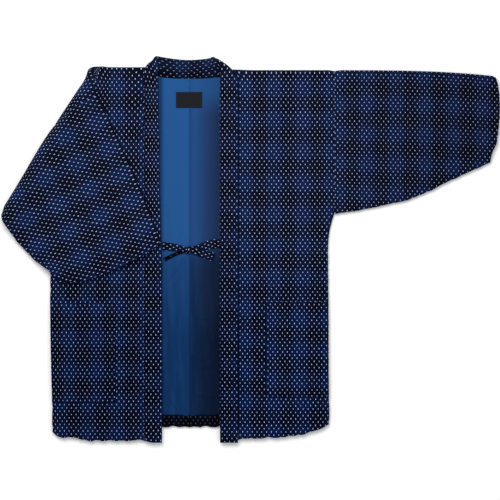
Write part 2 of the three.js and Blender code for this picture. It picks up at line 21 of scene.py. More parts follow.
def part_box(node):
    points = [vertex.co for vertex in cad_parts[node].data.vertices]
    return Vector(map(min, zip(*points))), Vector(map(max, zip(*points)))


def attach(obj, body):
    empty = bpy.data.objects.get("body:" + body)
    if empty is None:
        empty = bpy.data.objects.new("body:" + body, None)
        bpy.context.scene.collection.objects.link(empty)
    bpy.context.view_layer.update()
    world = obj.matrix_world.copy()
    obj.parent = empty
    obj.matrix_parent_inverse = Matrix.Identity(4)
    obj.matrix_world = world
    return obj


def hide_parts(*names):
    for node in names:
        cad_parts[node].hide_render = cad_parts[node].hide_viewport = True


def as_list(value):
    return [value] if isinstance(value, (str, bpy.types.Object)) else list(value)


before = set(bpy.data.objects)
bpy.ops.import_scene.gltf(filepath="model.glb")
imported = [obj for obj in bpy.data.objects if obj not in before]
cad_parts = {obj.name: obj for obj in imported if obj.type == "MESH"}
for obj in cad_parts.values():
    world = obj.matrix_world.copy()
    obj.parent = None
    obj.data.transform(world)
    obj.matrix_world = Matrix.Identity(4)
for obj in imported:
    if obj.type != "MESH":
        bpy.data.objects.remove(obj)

log = logging.getLogger("hanten")
MM = 0.001
INNER_FACE = 0.9

Colour = tuple[float, float, float, float]
Range = tuple[float, float]
WHITE: Colour = (1, 1, 1, 1)


class Side(Enum):
    """The viewer's left or right half of the jacket."""

    LEFT = "left"
    RIGHT = "right"

    @property
    def hand(self) -> int:
        """Direction of this side along x."""
        return -1 if self is Side.LEFT else 1


class Held(Enum):
    """How a sheet of cloth lies."""

    LAID = "laid"
    FOLDED = "folded"


class Slot(Enum):
    """The material slots of the record."""

    OUTER = "outer_cloth"
    LINING = "lining"
    TIE = "tie_cloth"
    LABEL = "label"


def clamp(value: float) -> float:
    """Value kept between 0 and 1."""
    return min(max(value, 0.0), 1.0)


def ease(value: float) -> float:
    """Smooth rise from 0 to 1."""
    share = clamp(value)
    return share * share * (3 - 2 * share)


def mix(start: float, end: float, share: float) -> float:
    """Value at a share of the way from start to end."""
    return start + (end - start) * share


def rounded(value: float, power: float) -> float:
    """Power of a value that keeps its sign."""
    return math.copysign(abs(value) ** power, value)


def curve_value(rows: list[tuple[float, float]], key: float) -> float:
    """Value at a key on a smooth curve through the rows of a table.

    Args:
        rows: Pairs of key and value, with rising keys.
        key: Where the curve is read.

    Returns:
        The value there.
    """
    last = len(rows) - 1
    row = 0
    while row < last - 1 and rows[row + 1][0] < key:
        row += 1
    (key_a, value_a), (key_b, value_b) = rows[row], rows[row + 1]
    before, after = rows[max(row - 1, 0)], rows[min(row + 2, last)]
    span = key_b - key_a
    share = clamp((key - key_a) / span)
    left = 1 - share
    start_slope = (value_b - before[1]) / (key_b - before[0])
    end_slope = (after[1] - value_a) / (after[0] - key_a)
    return (
        value_a * (1 + 2 * share) * left * left
        + value_b * (3 - 2 * share) * share * share
        + start_slope * span * share * left * left
        - end_slope * span * share * share * left
    )


@dataclass(frozen=True)
class HalfCut:
    """What differs between the two halves of the jacket, in millimetres."""

    band: float
    flare: float
    shoulder: float
    pocket_in: float
    pocket_top: float
    pocket_bottom: float
    seam_slack: float
    front_hem: list[tuple[float, float]]
    sleeve_widths: list[tuple[float, float]]


@dataclass(frozen=True)
class Cut:
    """Driving sizes of the jacket's cut, in millimetres."""

    body_length: float = 800.0
    body_half_width: float = 296.4
    armhole_half_width: float = 311.0
    armhole_depth: float = 308.0
    back_hem: float = 767.0
    back_hem_at_side: float = 754.0
    sleeve_length: float = 344.0
    sleeve_drop: float = 13.0
    cuff_bulge: float = 9.5
    cuff_corner: float = 14.0
    underarm_curve: float = 80.0
    ripple: float = 1.4
    ripple_pitch: float = 14.0
    hem_ripple: float = 3.6
    hem_pitch: float = 12.0
    band_width: float = 38.5
    neck_height: float = 5.5
    neck_sag: float = 7.5
    neck_half_width: float = 75.0
    neck_side_drop: float = 4.0
    flare_start: float = 30.0
    flare_end: float = 160.0
    turn_up: float = 26.0
    lining_tuck: float = 18.0
    seam_gap: float = 0.3
    centre_gap: float = 0.04
    padded_wall: float = 6.0
    pinched_wall: float = 2.5
    collar_wall: float = 6.5
    lining_wall: float = 1.2
    turn_up_wall: float = 1.8
    pocket_wall: float = 2.4
    fold_axis: float = 6.9
    collar_axis: float = 7.5
    slack_start: float = 540.0
    slack_rise: float = 60.0
    slack_end: float = 730.0
    slack_fall: float = 20.0
    neck_room: float = 3.0
    neck_room_run: float = 15.0
    neck_side_run: float = 55.0
    cuff_peak: float = 0.95
    cuff_lean: float = 0.75
    cuff_corner_start: float = 0.8
    cuff_corner_run: float = 0.28
    pinch_run: float = 18.0
    groove_run: float = 12.0
    hem_run: float = 8.0
    hem_edge: float = 9.0
    hem_thinning: float = 0.7
    underarm_run: float = 20.0
    halves: dict[Side, HalfCut] = field(
        default_factory=lambda: {
            Side.LEFT: HalfCut(
                band=97.4,
                flare=7.0,
                shoulder=4.3,
                pocket_in=158.4,
                pocket_top=500.0,
                pocket_bottom=713.0,
                seam_slack=0.0,
                front_hem=[(0, 794), (0.3, 796), (0.6, 795), (0.8, 789), (0.94, 785), (1, 777)],
                sleeve_widths=[
                    (0, 226), (24, 239), (60, 254), (107, 273), (150, 286),
                    (190, 293), (235, 300), (290, 304), (344, 308),
                ],
            ),
            Side.RIGHT: HalfCut(
                band=103.8,
                flare=0.0,
                shoulder=-2.0,
                pocket_in=163.7,
                pocket_top=498.0,
                pocket_bottom=702.0,
                seam_slack=1.8,
                front_hem=[(0, 794), (0.3, 790), (0.6, 785), (0.8, 778), (0.94, 769), (1, 760)],
                sleeve_widths=[
                    (0, 179), (24, 192), (60, 210), (107, 234), (150, 257),
                    (190, 273), (235, 285.5), (290, 298), (318, 303.5), (344, 308),
                ],
            ),
        }
    )

    @property
    def front_top(self) -> float:
        """Height of the front's face above the surface."""
        return 2 * self.fold_axis

    @property
    def band_top(self) -> float:
        """Height of the collar band's face above the surface."""
        return 2 * self.collar_axis

    @property
    def lining_bottom(self) -> float:
        """Height of the lining's underside above the surface."""
        return self.padded_wall + self.seam_gap

    def flare_share(self, drop: float) -> float:
        """Share of the band's flare that is left at a distance below the shoulder."""
        return 1 - clamp((drop - self.flare_start) / (self.flare_end - self.flare_start))

    def band_seam(self, side: Side, drop: float) -> float:
        """Distance of the collar band's seam from the centre back."""
        half = self.halves[side]
        return half.band + half.flare * self.flare_share(drop)

    def body_side(self, drop: float) -> float:
        """Half width of the body at a distance below the shoulder, wider along the armhole.

        Args:
            drop: Distance below the shoulder line.

        Returns:
            The half width.
        """
        share = clamp((drop - self.armhole_depth) / self.underarm_curve)
        below = 1 - (1 - share) ** 2
        ripple = wavy(drop, self.ripple, self.ripple_pitch, 1) * below
        return mix(self.armhole_half_width, self.body_half_width, below) + ripple

    def front_hem(self, side: Side, x: float) -> float:
        """Length of the front below the shoulder at a distance from the centre back."""
        half = self.halves[side]
        return curve_value(half.front_hem, (x - half.band) / (self.body_half_width - half.band))

    def back_hem_at(self, x: float) -> float:
        """Length of the back below the shoulder at a distance from the centre back."""
        return mix(self.back_hem, self.back_hem_at_side, ease(x / self.body_half_width))

    def back_hem_edge(self, x: float) -> float:
        """Length of the back down to its slightly ragged edge."""
        return self.back_hem_at(x) + wavy(x, self.hem_ripple, self.hem_pitch, 2)

    def turn_up_edge(self, x: float) -> float:
        """Place of the turn-up's upper edge, where the lining starts."""
        return self.turn_up - self.back_hem_at(x) + wavy(x, self.hem_ripple, self.hem_pitch, 9)

    def opening(self, side: Side) -> float:
        """Distance of the band's inner edge from the centre back."""
        return self.halves[side].band - self.band_width

    def neck_middle(self, x: float) -> float:
        """Middle of the collar where it passes behind the neck."""
        share = min(abs(x) / self.neck_half_width, 1)
        return self.neck_height - self.neck_sag * (1 + math.cos(math.pi * share)) / 2

    def neck_seam(self, x: float) -> float:
        """Edge of the back along the neck.

        Args:
            x: Distance from the centre back.

        Returns:
            The edge's place along y.
        """
        room = self.neck_room * ease((abs(x) - self.neck_half_width) / self.neck_room_run)
        room += self.neck_side_drop * ease(abs(x) / self.neck_side_run)
        return self.neck_middle(x) - self.band_width / 2 - self.seam_gap - room

    def cuff_reach(self, share: float) -> float:
        """How far the cuff reaches at a share of the way from the top fold to the underarm."""
        bulge = self.cuff_bulge * math.sin(math.pi * min(share / self.cuff_peak, 1) ** self.cuff_lean)
        return bulge - self.cuff_corner * ease((share - self.cuff_corner_start) / self.cuff_corner_run)


CUT = Cut()


@dataclass(frozen=True)
class Place:
    """Where the cut's origin lies in the frame, read from the label's node."""

    label_x: float = -1.0
    label_y: float = -66.0

    def origin(self) -> Vector:
        """The cut's origin in metres."""
        middle = sum(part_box("label"), Vector()) / 2
        return Vector((middle.x - self.label_x * MM, middle.y - self.label_y * MM, 0))


PLACE = Place()
ORIGIN = PLACE.origin()


def placed(point: Vector) -> Vector:
    """A point of the cut, in millimetres, as a point of the frame, in metres."""
    return ORIGIN + point * MM


def wavy(place: float, size: float, pitch: float, seed: float) -> float:
    """Small uneven waves along an edge."""
    return size * noise.noise(Vector((place / pitch, seed, 0.5)))


def no_settling(_point: Vector, _past: float) -> float:
    """A fold whose cloth doesn't sink."""
    return 0.0


@dataclass(frozen=True)
class RoundFold:
    """A fold that turns the cloth beyond a line up and over, on a round roll."""

    edge: tuple[float, float]
    outward: tuple[float, float]
    axis: float
    room: float = 0.0
    slide: float = 0.0
    settle: Callable[[Vector, float], float] = no_settling

    @property
    def take_up(self) -> float:
        """Length of cloth in the roll."""
        return 2 * self.axis + self.room

    def direction(self) -> Vector:
        """Unit vector out of the fold."""
        return Vector((*self.outward, 0)).normalized()

    def distance(self, point: Vector) -> float:
        """How far the flat cloth reaches past the roll's start at a point."""
        return (point - Vector((*self.edge, 0))).dot(self.direction()) + self.axis

    def turn(self, point: Vector) -> Vector:
        """Take a point of the flat cloth round the fold.

        Args:
            point: The point before folding, in millimetres.

        Returns:
            The point after folding.
        """
        distance = self.distance(point)
        if distance <= 0:
            return point
        outward = self.direction()
        along = Vector((-outward.y, outward.x, 0))
        share = min(distance / self.take_up, 1)
        past = max(distance - self.take_up, 0)
        radius = self.axis - point.z
        reach = radius * math.sin(math.pi * share) - past
        turned = point + outward * (reach - distance) + along * (self.slide * ease(share))
        turned.z = self.axis - radius * math.cos(math.pi * share)
        turned.z -= self.settle(turned, past)
        return turned


@dataclass(frozen=True)
class SleeveRest:
    """How the folded sleeve comes to rest, in millimetres."""

    gap: float = 0.8
    axis_rise: float = 4.0
    sink_run: float = 70.0
    sag: float = 12.0
    sag_run: float = 55.0

    def settle(self, point: Vector, past: float) -> float:
        """How far the sleeve sinks on to the front, and past the body's side.

        Args:
            point: The point, in millimetres.
            past: Cloth that is past the fold.

        Returns:
            How far the point sinks.
        """
        rest_height = CUT.band_top + self.gap
        turned_bottom = CUT.front_top + 2 * self.axis_rise
        past_side = -CUT.body_half_width - point.x
        below_sleeve = -CUT.armhole_depth - point.y
        unsupported = max(min(past_side, below_sleeve), 0)
        sink = (turned_bottom - rest_height) * ease(past / self.sink_run)
        return sink + self.sag * ease(unsupported / self.sag_run)


SLEEVE_REST = SleeveRest()
TOP_FOLD = RoundFold(edge=(0, 0), outward=(0, 1), axis=CUT.fold_axis)
SLEEVE_FOLD = RoundFold(
    edge=(-208.2, 4.3),
    outward=(-0.845, 0.5347),
    axis=CUT.front_top + SLEEVE_REST.axis_rise,
    room=45,
    slide=-10,
    settle=SLEEVE_REST.settle,
)


@dataclass(frozen=True)
class Pull:
    """A soft pull of the laid cloth at one place, in millimetres."""

    x: float
    y: float
    dx: float
    dy: float
    across: float
    along: float

    def shift(self, point: Vector) -> Vector:
        """How far the pull takes a point."""
        away = ((point.x - self.x) / self.across) ** 2 + ((point.y - self.y) / self.along) ** 2
        return Vector((self.dx, self.dy, 0)) * math.exp(-away)


@dataclass(frozen=True)
class SoftFold:
    """One long soft fold of the cloth: a low ridge, or a hollow where its height is negative."""

    x: float
    y: float
    length: float
    width: float
    height: float
    lean: float

    def rise(self, x: float, y: float) -> float:
        """Height of the fold above the flat cloth at a point.

        Args:
            x: Distance from the centre back.
            y: Place along the pattern.

        Returns:
            The height.
        """
        lean = math.radians(self.lean)
        along = (y - self.y) * math.cos(lean) - (x - self.x) * math.sin(lean)
        across = (x - self.x) * math.cos(lean) + (y - self.y) * math.sin(lean)
        fade = ease(2 * (1 - abs(along) / (self.length / 2)))
        return self.height * fade * math.exp(-((across / (self.width / 2)) ** 2))


@dataclass(frozen=True)
class Padding:
    """Relief of padded cloth between its seams."""

    crown: float = 2.0
    crown_reach: float = 30.0
    pucker: float = 0.8
    pucker_pitch: float = 9.0
    pucker_reach: float = 15.0
    pucker_run: float = 30.0
    pucker_start: float = 4.0
    swell: float = 1.1
    swell_pitch: float = 70.0
    fine_height: float = 0.35
    fine_pitch: float = 0.3
    seed: float = 0.0

    def rise(self, x: float, y: float, seams: list[tuple[float, float]]) -> float:
        """Height of the cloth's face above its wall.

        Args:
            x: Distance from the centre back.
            y: Distance along the piece.
            seams: For each seam near by, the gap to it and the place along it.

        Returns:
            The height in millimetres.
        """
        nearest = min(gap for gap, _ in seams)
        swell = self.swell * noise.noise(Vector((x, y, self.seed)) / self.swell_pitch)
        fine = noise.noise(Vector((y, x, self.seed)) / (self.fine_pitch * self.swell_pitch))
        fine *= self.fine_height * self.swell
        rise = (self.crown + swell + fine) * ease(nearest / self.crown_reach)
        for gap, along in seams:
            if gap > 4 * self.pucker_reach:
                continue
            wave = noise.noise(Vector((along / self.pucker_pitch, gap / self.pucker_run, self.seed + 5)))
            fade = math.exp(-gap / self.pucker_reach) * ease(gap / self.pucker_start)
            rise += self.pucker * wave * fade
        return rise


@dataclass(frozen=True)
class CheckPlace:
    """Where the check lies on a piece: one dark band and the way to the next, in millimetres."""

    dark_x: float
    dark_y: float
    across: float = 61.8
    along: float = 67.4

    def cloth_point(self, x: float, y: float) -> Vector:
        """The point's place in the cloth's own weave, in metres."""
        u = (x - self.dark_x) / self.across * WEAVE.check_across
        return Vector((u, (y - self.dark_y) / self.along * WEAVE.check_along))


@dataclass(frozen=True)
class Weave:
    """Repeat of the woven check and of its dashes, in metres."""

    check_across: float = 0.0618
    check_along: float = 0.0674
    dash_across: float = 0.0103
    dash_along: float = 0.0070
    dash_half_width: float = 0.00071
    dash_half_length: float = 0.00151
    thread: float = 0.0011


WEAVE = Weave()


@dataclass(frozen=True)
class Stations:
    """Rows or columns of a piece: how many steps lie between one anchor line and the next."""

    counts: tuple[int, ...]

    @property
    def total(self) -> int:
        """Number of steps in all."""
        return sum(self.counts)

    def value(self, index: int, anchors: list[float]) -> float:
        """Place of a row or column between the anchors.

        Args:
            index: Number of the row or column.
            anchors: Places of the anchor lines, one more than the counts.

        Returns:
            The place, in the anchors' unit.
        """
        left = index
        for number, count in enumerate(self.counts):
            if left <= count:
                return mix(anchors[number], anchors[number + 1], left / count)
            left -= count
        return anchors[-1]


class ClothPiece:
    """A piece of cloth with a wall: built flat, given its relief, folded, and placed in the frame."""

    name: str
    node: str
    slot: Slot
    held: Held
    flat_size: tuple[float, float]
    rests_on: tuple[str, ...] = ()
    columns: Stations
    rows: Stations
    side: Side = Side.RIGHT
    check: CheckPlace = CheckPlace(0, 0)
    pulls: tuple[Pull, ...] = ()
    inner_shift: float = 2.5

    def take_side(self, side: Side, part: str, kind: str) -> None:
        """Name the piece and its node after their side."""
        self.side, self.node = side, f"{part}_{side.value}"
        self.name = f"{self.node}_{kind}"

    def cut_point(self, column: int, row: int) -> tuple[float, float]:
        """Flat pattern point of a column and row, in millimetres."""
        raise NotImplementedError

    def wall(self, x: float, y: float) -> tuple[float, float]:
        """Heights of the outer and the inner face at a pattern point."""
        raise NotImplementedError

    def is_kept(self, _column: float, _row: float) -> bool:
        """Whether the cloth covers a cell of the pattern."""
        return True

    def lay(self, point: Vector) -> Vector:
        """A point of the flat piece as it lies, mirrored on the left."""
        return Vector((self.side.hand * point.x, point.y, point.z))

    def finish_of_face(self, _column: float, _row: float, _height: float) -> int:
        """Number of the finish that a face takes."""
        return 0

    def build(self, finishes: list[Material]) -> Object:
        """Make the piece.

        Args:
            finishes: Its materials, in the order that finish_of_face counts them.

        Returns:
            The finished object.
        """
        slab = lattice_slab(self.columns.total, self.rows.total, self.is_kept)
        for face in slab.faces:
            face.smooth = True
            centre = face.calc_center_median()
            face.material_index = self.finish_of_face(centre.x, centre.y, centre.z)
        cloth_map = slab.loops.layers.uv.new("cloth")
        corners = {vert: self.corner(vert.co) for vert in slab.verts}
        area = self.flat_area(slab, corners)
        for face in slab.faces:
            for loop in face.loops:
                x, y, height = corners[loop.vert]
                loop[cloth_map].uv = self.cloth_point(x, y, height * self.inner_shift)
        for vert in slab.verts:
            x, y, height = corners[vert]
            outer, inner = self.wall(x, y)
            vert.co = placed(self.settled(Vector((x, y, mix(outer, inner, height)))))
        if self.side is Side.LEFT:
            bmesh.ops.reverse_faces(slab, faces=slab.faces[:])
        piece = finished_object(self.name, slab, finishes)
        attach(piece, "root")
        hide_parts(self.node)
        width, length = (size * MM for size in self.flat_size)
        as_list(self.rests_on)
        log.info("%s: flat %.3f x %.3f m, cut area %.4f m2", self.name, width, length, area)
        return piece

    def settled(self, point: Vector) -> Vector:
        """Fold, place and pull a point of the flat piece, in millimetres.

        Args:
            point: The point, in millimetres.

        Returns:
            The point as it lies.
        """
        laid = self.lay(point)
        for pull in self.pulls:
            laid += pull.shift(laid)
        laid.z = max(laid.z, 0)
        return laid

    def cloth_point(self, x: float, y: float, shift: float) -> Vector:
        """Place of a pattern point in the weave, shifted on the inner face."""
        return self.check.cloth_point(x + shift, y + shift)

    def corner(self, lattice: Vector) -> tuple[float, float, float]:
        """Pattern point and share of the wall's height of one lattice point."""
        x, y = self.cut_point(round(lattice.x), round(lattice.y))
        return x, y, float(round(lattice.z))

    def flat_area(self, slab: bmesh.types.BMesh, corners: dict) -> float:
        """Area of the flat pattern, in square metres.

        Args:
            slab: The lattice, before it is given its shape.
            corners: The pattern point of each vertex.

        Returns:
            The area of one face of the cloth.
        """
        area = 0.0
        for face in slab.faces:
            points = [corners[vert] for vert in face.verts]
            if any(height > 0.5 for _, _, height in points):
                continue
            (ax, ay, _), (bx, by, _), (cx, cy, _), (dx, dy, _) = points
            area += abs((cx - ax) * (dy - by) - (dx - bx) * (cy - ay)) / 2
        return area * MM * MM


def thicken(sheet: bmesh.types.BMesh, height: float) -> None:
    """Close a flat sheet into a wall, with its second face drawn up.

    Args:
        sheet: The flat mesh, which is changed.
        height: Height of the wall.
    """
    walled = bmesh.ops.extrude_face_region(sheet, geom=sheet.faces[:], use_keep_orig=True)
    raised = [item for item in walled["geom"] if isinstance(item, bmesh.types.BMVert)]
    bmesh.ops.translate(sheet, vec=(0, 0, height), verts=raised)
    bmesh.ops.recalc_face_normals(sheet, faces=sheet.faces[:])


def lattice_slab(
    columns: int, rows: int, keep: Callable[[float, float], bool]
) -> bmesh.types.BMesh:
    """A closed flat slab whose vertices lie at whole columns and rows, and at heights 0 and 1.

    Args:
        columns: Number of cells across.
        rows: Number of cells along.
        keep: Whether the cell at a column and row is part of the piece.

    Returns:
        The slab, with its faces pointing out.
    """
    slab = bmesh.new()
    bmesh.ops.create_grid(slab, x_segments=columns, y_segments=rows, size=0.5)
    bmesh.ops.translate(slab, vec=(0.5, 0.5, 0), verts=slab.verts[:])
    bmesh.ops.scale(slab, vec=(columns, rows, 1), verts=slab.verts[:])
    spare = [face for face in slab.faces if not keep(*face.calc_center_median().xy)]
    bmesh.ops.delete(slab, geom=spare, context="FACES")
    thicken(slab, 1)
    return slab


def finished_object(
    name: str, shape: bmesh.types.BMesh, finishes: list[Material]
) -> Object:
    """Turn a bmesh into a scene object at the origin.

    Args:
        name: Name of the object.
        shape: The mesh, which is freed.
        finishes: Materials for its slots.

    Returns:
        The new object.
    """
    mesh = bpy.data.meshes.new(name)
    shape.to_mesh(mesh)
    shape.free()
    for finish in finishes:
        mesh.materials.append(finish)
    piece = bpy.data.objects.new(name, mesh)
    bpy.context.scene.collection.objects.link(piece)
    return piece


def padded_faces(
    pinch_gap: float = math.inf,
    pinch_share: float = 1.0,
    seam_gap: float = math.inf,
    hem_gap: float = math.inf,
    groove_depth: float = 2.0,
) -> tuple[float, float]:
    """Heights of the faces of a padded wall.

    Args:
        pinch_gap: Distance to a seam that sews front and back together.
        pinch_share: How much that seam pinches the wall.
        seam_gap: Distance to another seam, which pulls a groove into the outer face.
        hem_gap: Distance to a hem, where the wall is round.
        groove_depth: Depth of the groove.

    Returns:
        The heights of the outer and the inner face.
    """
    pinch = pinch_share * (1 - ease(pinch_gap / CUT.pinch_run))
    groove = (1 - pinch) * (1 - ease(seam_gap / CUT.groove_run))
    hem = 1 - ease(hem_gap / CUT.hem_run)
    wall = CUT.padded_wall
    thinning = (1 - pinch * (1 - CUT.pinched_wall / wall)) * (1 - CUT.hem_thinning * hem)
    half_wall = wall / 2 * thinning
    sewn_middle = CUT.fold_axis - CUT.seam_gap / 2 - CUT.pinched_wall / 2
    middle = mix(wall / 2, sewn_middle, pinch)
    return middle - half_wall + groove_depth * groove, middle + half_wall


class FoldedSide:
    """What the pieces of one side share: the shoulder's height, the mirror and the sleeve fold."""

    turn_run = 40.0
    top_of_roll = 0.8
    middle_of_roll = 0.5

    def __init__(self, side: Side) -> None:
        """Take the sizes of that side."""
        self.side = side
        self.half = CUT.halves[side]

    def folded_share(self, x: float, y: float) -> float:
        """How far a point of the cut has turned round the sleeve fold, from 0 to 1.

        Args:
            x: Distance from the centre back.
            y: Place along the pattern.

        Returns:
            The share.
        """
        if self.side is Side.RIGHT:
            return 0.0
        reach = SLEEVE_FOLD.distance(Vector((-x, y + self.half.shoulder, 0)))
        return clamp(reach / SLEEVE_FOLD.take_up)

    def up_share(self, x: float, y: float) -> float:
        """How much the outer face looks up, where front and back both start at y 0.

        Args:
            x: Distance from the centre back.
            y: Place along the pattern.

        Returns:
            The share.
        """
        turned = self.folded_share(x, -abs(y))
        middle = self.middle_of_roll
        front = ease(y / self.turn_run) * (1 - ease(turned / self.top_of_roll))
        back = ease(-y / self.turn_run) * ease((turned - middle) / (1 - middle))
        return front + back

    def laid(self, point: Vector) -> Vector:
        """Mirror a point of the left side and lay it round the sleeve fold."""
        mirrored = Vector((-point.x, point.y, point.z))
        return SLEEVE_FOLD.turn(mirrored) if self.side is Side.LEFT else point


class BodyHalf(ClothPiece):
    """One half of the body: back and front in one length over the shoulder."""

    slot = Slot.OUTER
    columns = Stations((26, 44, 6))
    rows = Stations((5, 182, 4, 10, 186, 5))
    neck_column = 26
    neck_row = 187
    hem_rows = 9
    neck_flare = 0.5

    def __init__(self, side: Side, check: CheckPlace, folds: list[SoftFold]) -> None:
        """Set up the piece for one side.

        Args:
            side: The viewer's left or right.
            check: Where the check lies on it.
            folds: Its soft folds.
        """
        self.take_side(side, "body", "padded")
        self.lie = FoldedSide(side)
        self.held = Held.FOLDED
        self.flat_size = (CUT.armhole_half_width, CUT.body_length + CUT.back_hem)
        self.check = check
        self.folds = folds
        self.pulls = BODY_PULLS[side]
        self.padding = Padding(seed=3.0 * side.hand)

    def front_edge(self, drop: float) -> float:
        """Distance of the front's edge, along the collar band, from the centre back.

        Args:
            drop: Distance below the shoulder line.

        Returns:
            The distance.
        """
        slack = self.lie.half.seam_slack * ease((drop - CUT.slack_start) / CUT.slack_rise)
        slack *= 1 - ease((drop - CUT.slack_end) / CUT.slack_fall)
        seam = CUT.band_seam(self.side, drop) + CUT.seam_gap
        return seam + self.neck_flare * CUT.flare_share(drop) + slack

    def cut_point(self, column: int, row: int) -> tuple[float, float]:
        """Flat pattern point of a column and row.

        Args:
            column: Number of the column.
            row: Number of the row.

        Returns:
            The point, in millimetres.
        """
        drop = abs(self.row_place(row, self.front_edge(0)))
        side = CUT.body_side(drop)
        anchors = [CUT.centre_gap / 2, self.front_edge(drop), side - CUT.pinch_run, side]
        x = self.columns.value(column, anchors)
        return x, self.row_place(row, x)

    def row_place(self, row: int, x: float) -> float:
        """Place of a row along the pattern at a distance from the centre back.

        Args:
            row: Number of the row.
            x: Distance from the centre back.

        Returns:
            The place along y.
        """
        back = CUT.back_hem_edge(x)
        front = CUT.front_hem(self.side, x)
        front += wavy(x, CUT.hem_ripple, CUT.hem_pitch, 3 + self.side.hand)
        neck = CUT.neck_seam(x) - self.lie.half.shoulder
        axis, edge = CUT.fold_axis, CUT.hem_edge
        return self.rows.value(row, [-back, edge - back, neck, -axis, axis, front - edge, front])

    def is_kept(self, column: float, row: float) -> bool:
        """Leave out the neck hole and the front opening."""
        return column > self.neck_column or row < self.neck_row

    def seams(self, x: float, y: float) -> list[tuple[float, float]]:
        """Seams and edges round a point of the front or the back, as gap and place along.

        Args:
            x: Distance from the centre back.
            y: Place along the pattern.

        Returns:
            The gap and the place for each seam.
        """
        drop = abs(y)
        side_gap = CUT.body_side(drop) - x
        if y > 0:
            return [
                (side_gap, y),
                (x - self.front_edge(drop), y),
                (CUT.front_hem(self.side, x) - drop, x),
            ]
        return [(side_gap, y), (x, y), (CUT.back_hem_at(x) - drop, x)]

    def wall(self, x: float, y: float) -> tuple[float, float]:
        """Heights of the outer and the inner face.

        Args:
            x: Distance from the centre back.
            y: Place along the pattern.

        Returns:
            Heights of both faces.
        """
        drop = abs(y)
        is_front = y > 0
        seams = self.seams(x, y)
        neck_gap = abs(CUT.neck_seam(x) - self.lie.half.shoulder - y)
        if is_front or x > self.front_edge(0):
            neck_gap = math.inf
        outer, inner = padded_faces(
            pinch_gap=seams[0][0],
            pinch_share=ease((drop - CUT.armhole_depth) / CUT.underarm_run + 0.5),
            seam_gap=min(seams[0][0], seams[1][0], neck_gap),
            hem_gap=seams[2][0],
        )
        rise = self.padding.rise(x, y, seams)
        rise += sum(fold.rise(x, -drop) for fold in self.folds) * ease(seams[0][0] / CUT.groove_run)
        return outer - rise * self.lie.up_share(x, y), inner

    def front_height(self, x: float, drop: float) -> float:
        """Height of the front's face above the surface at a distance below the shoulder."""
        return CUT.front_top - self.wall(x, drop)[0]

    def lay(self, point: Vector) -> Vector:
        """Fold the front over the back, lift the shoulder and lay the sleeve's corner over.

        Args:
            point: The point, in millimetres.

        Returns:
            The point as it lies.
        """
        laid = TOP_FOLD.turn(point)
        length = CUT.body_length
        laid.y += self.lie.half.shoulder * ease((length + laid.y) / (length - CUT.armhole_depth))
        return self.lie.laid(laid)

    def finish_of_face(self, column: float, row: float, height: float) -> int:
        """Outer cloth outside and along the hems, lining on the inside."""
        near_hem = row < self.hem_rows or row > self.rows.total - self.hem_rows
        return 0 if height < INNER_FACE or near_hem else 1


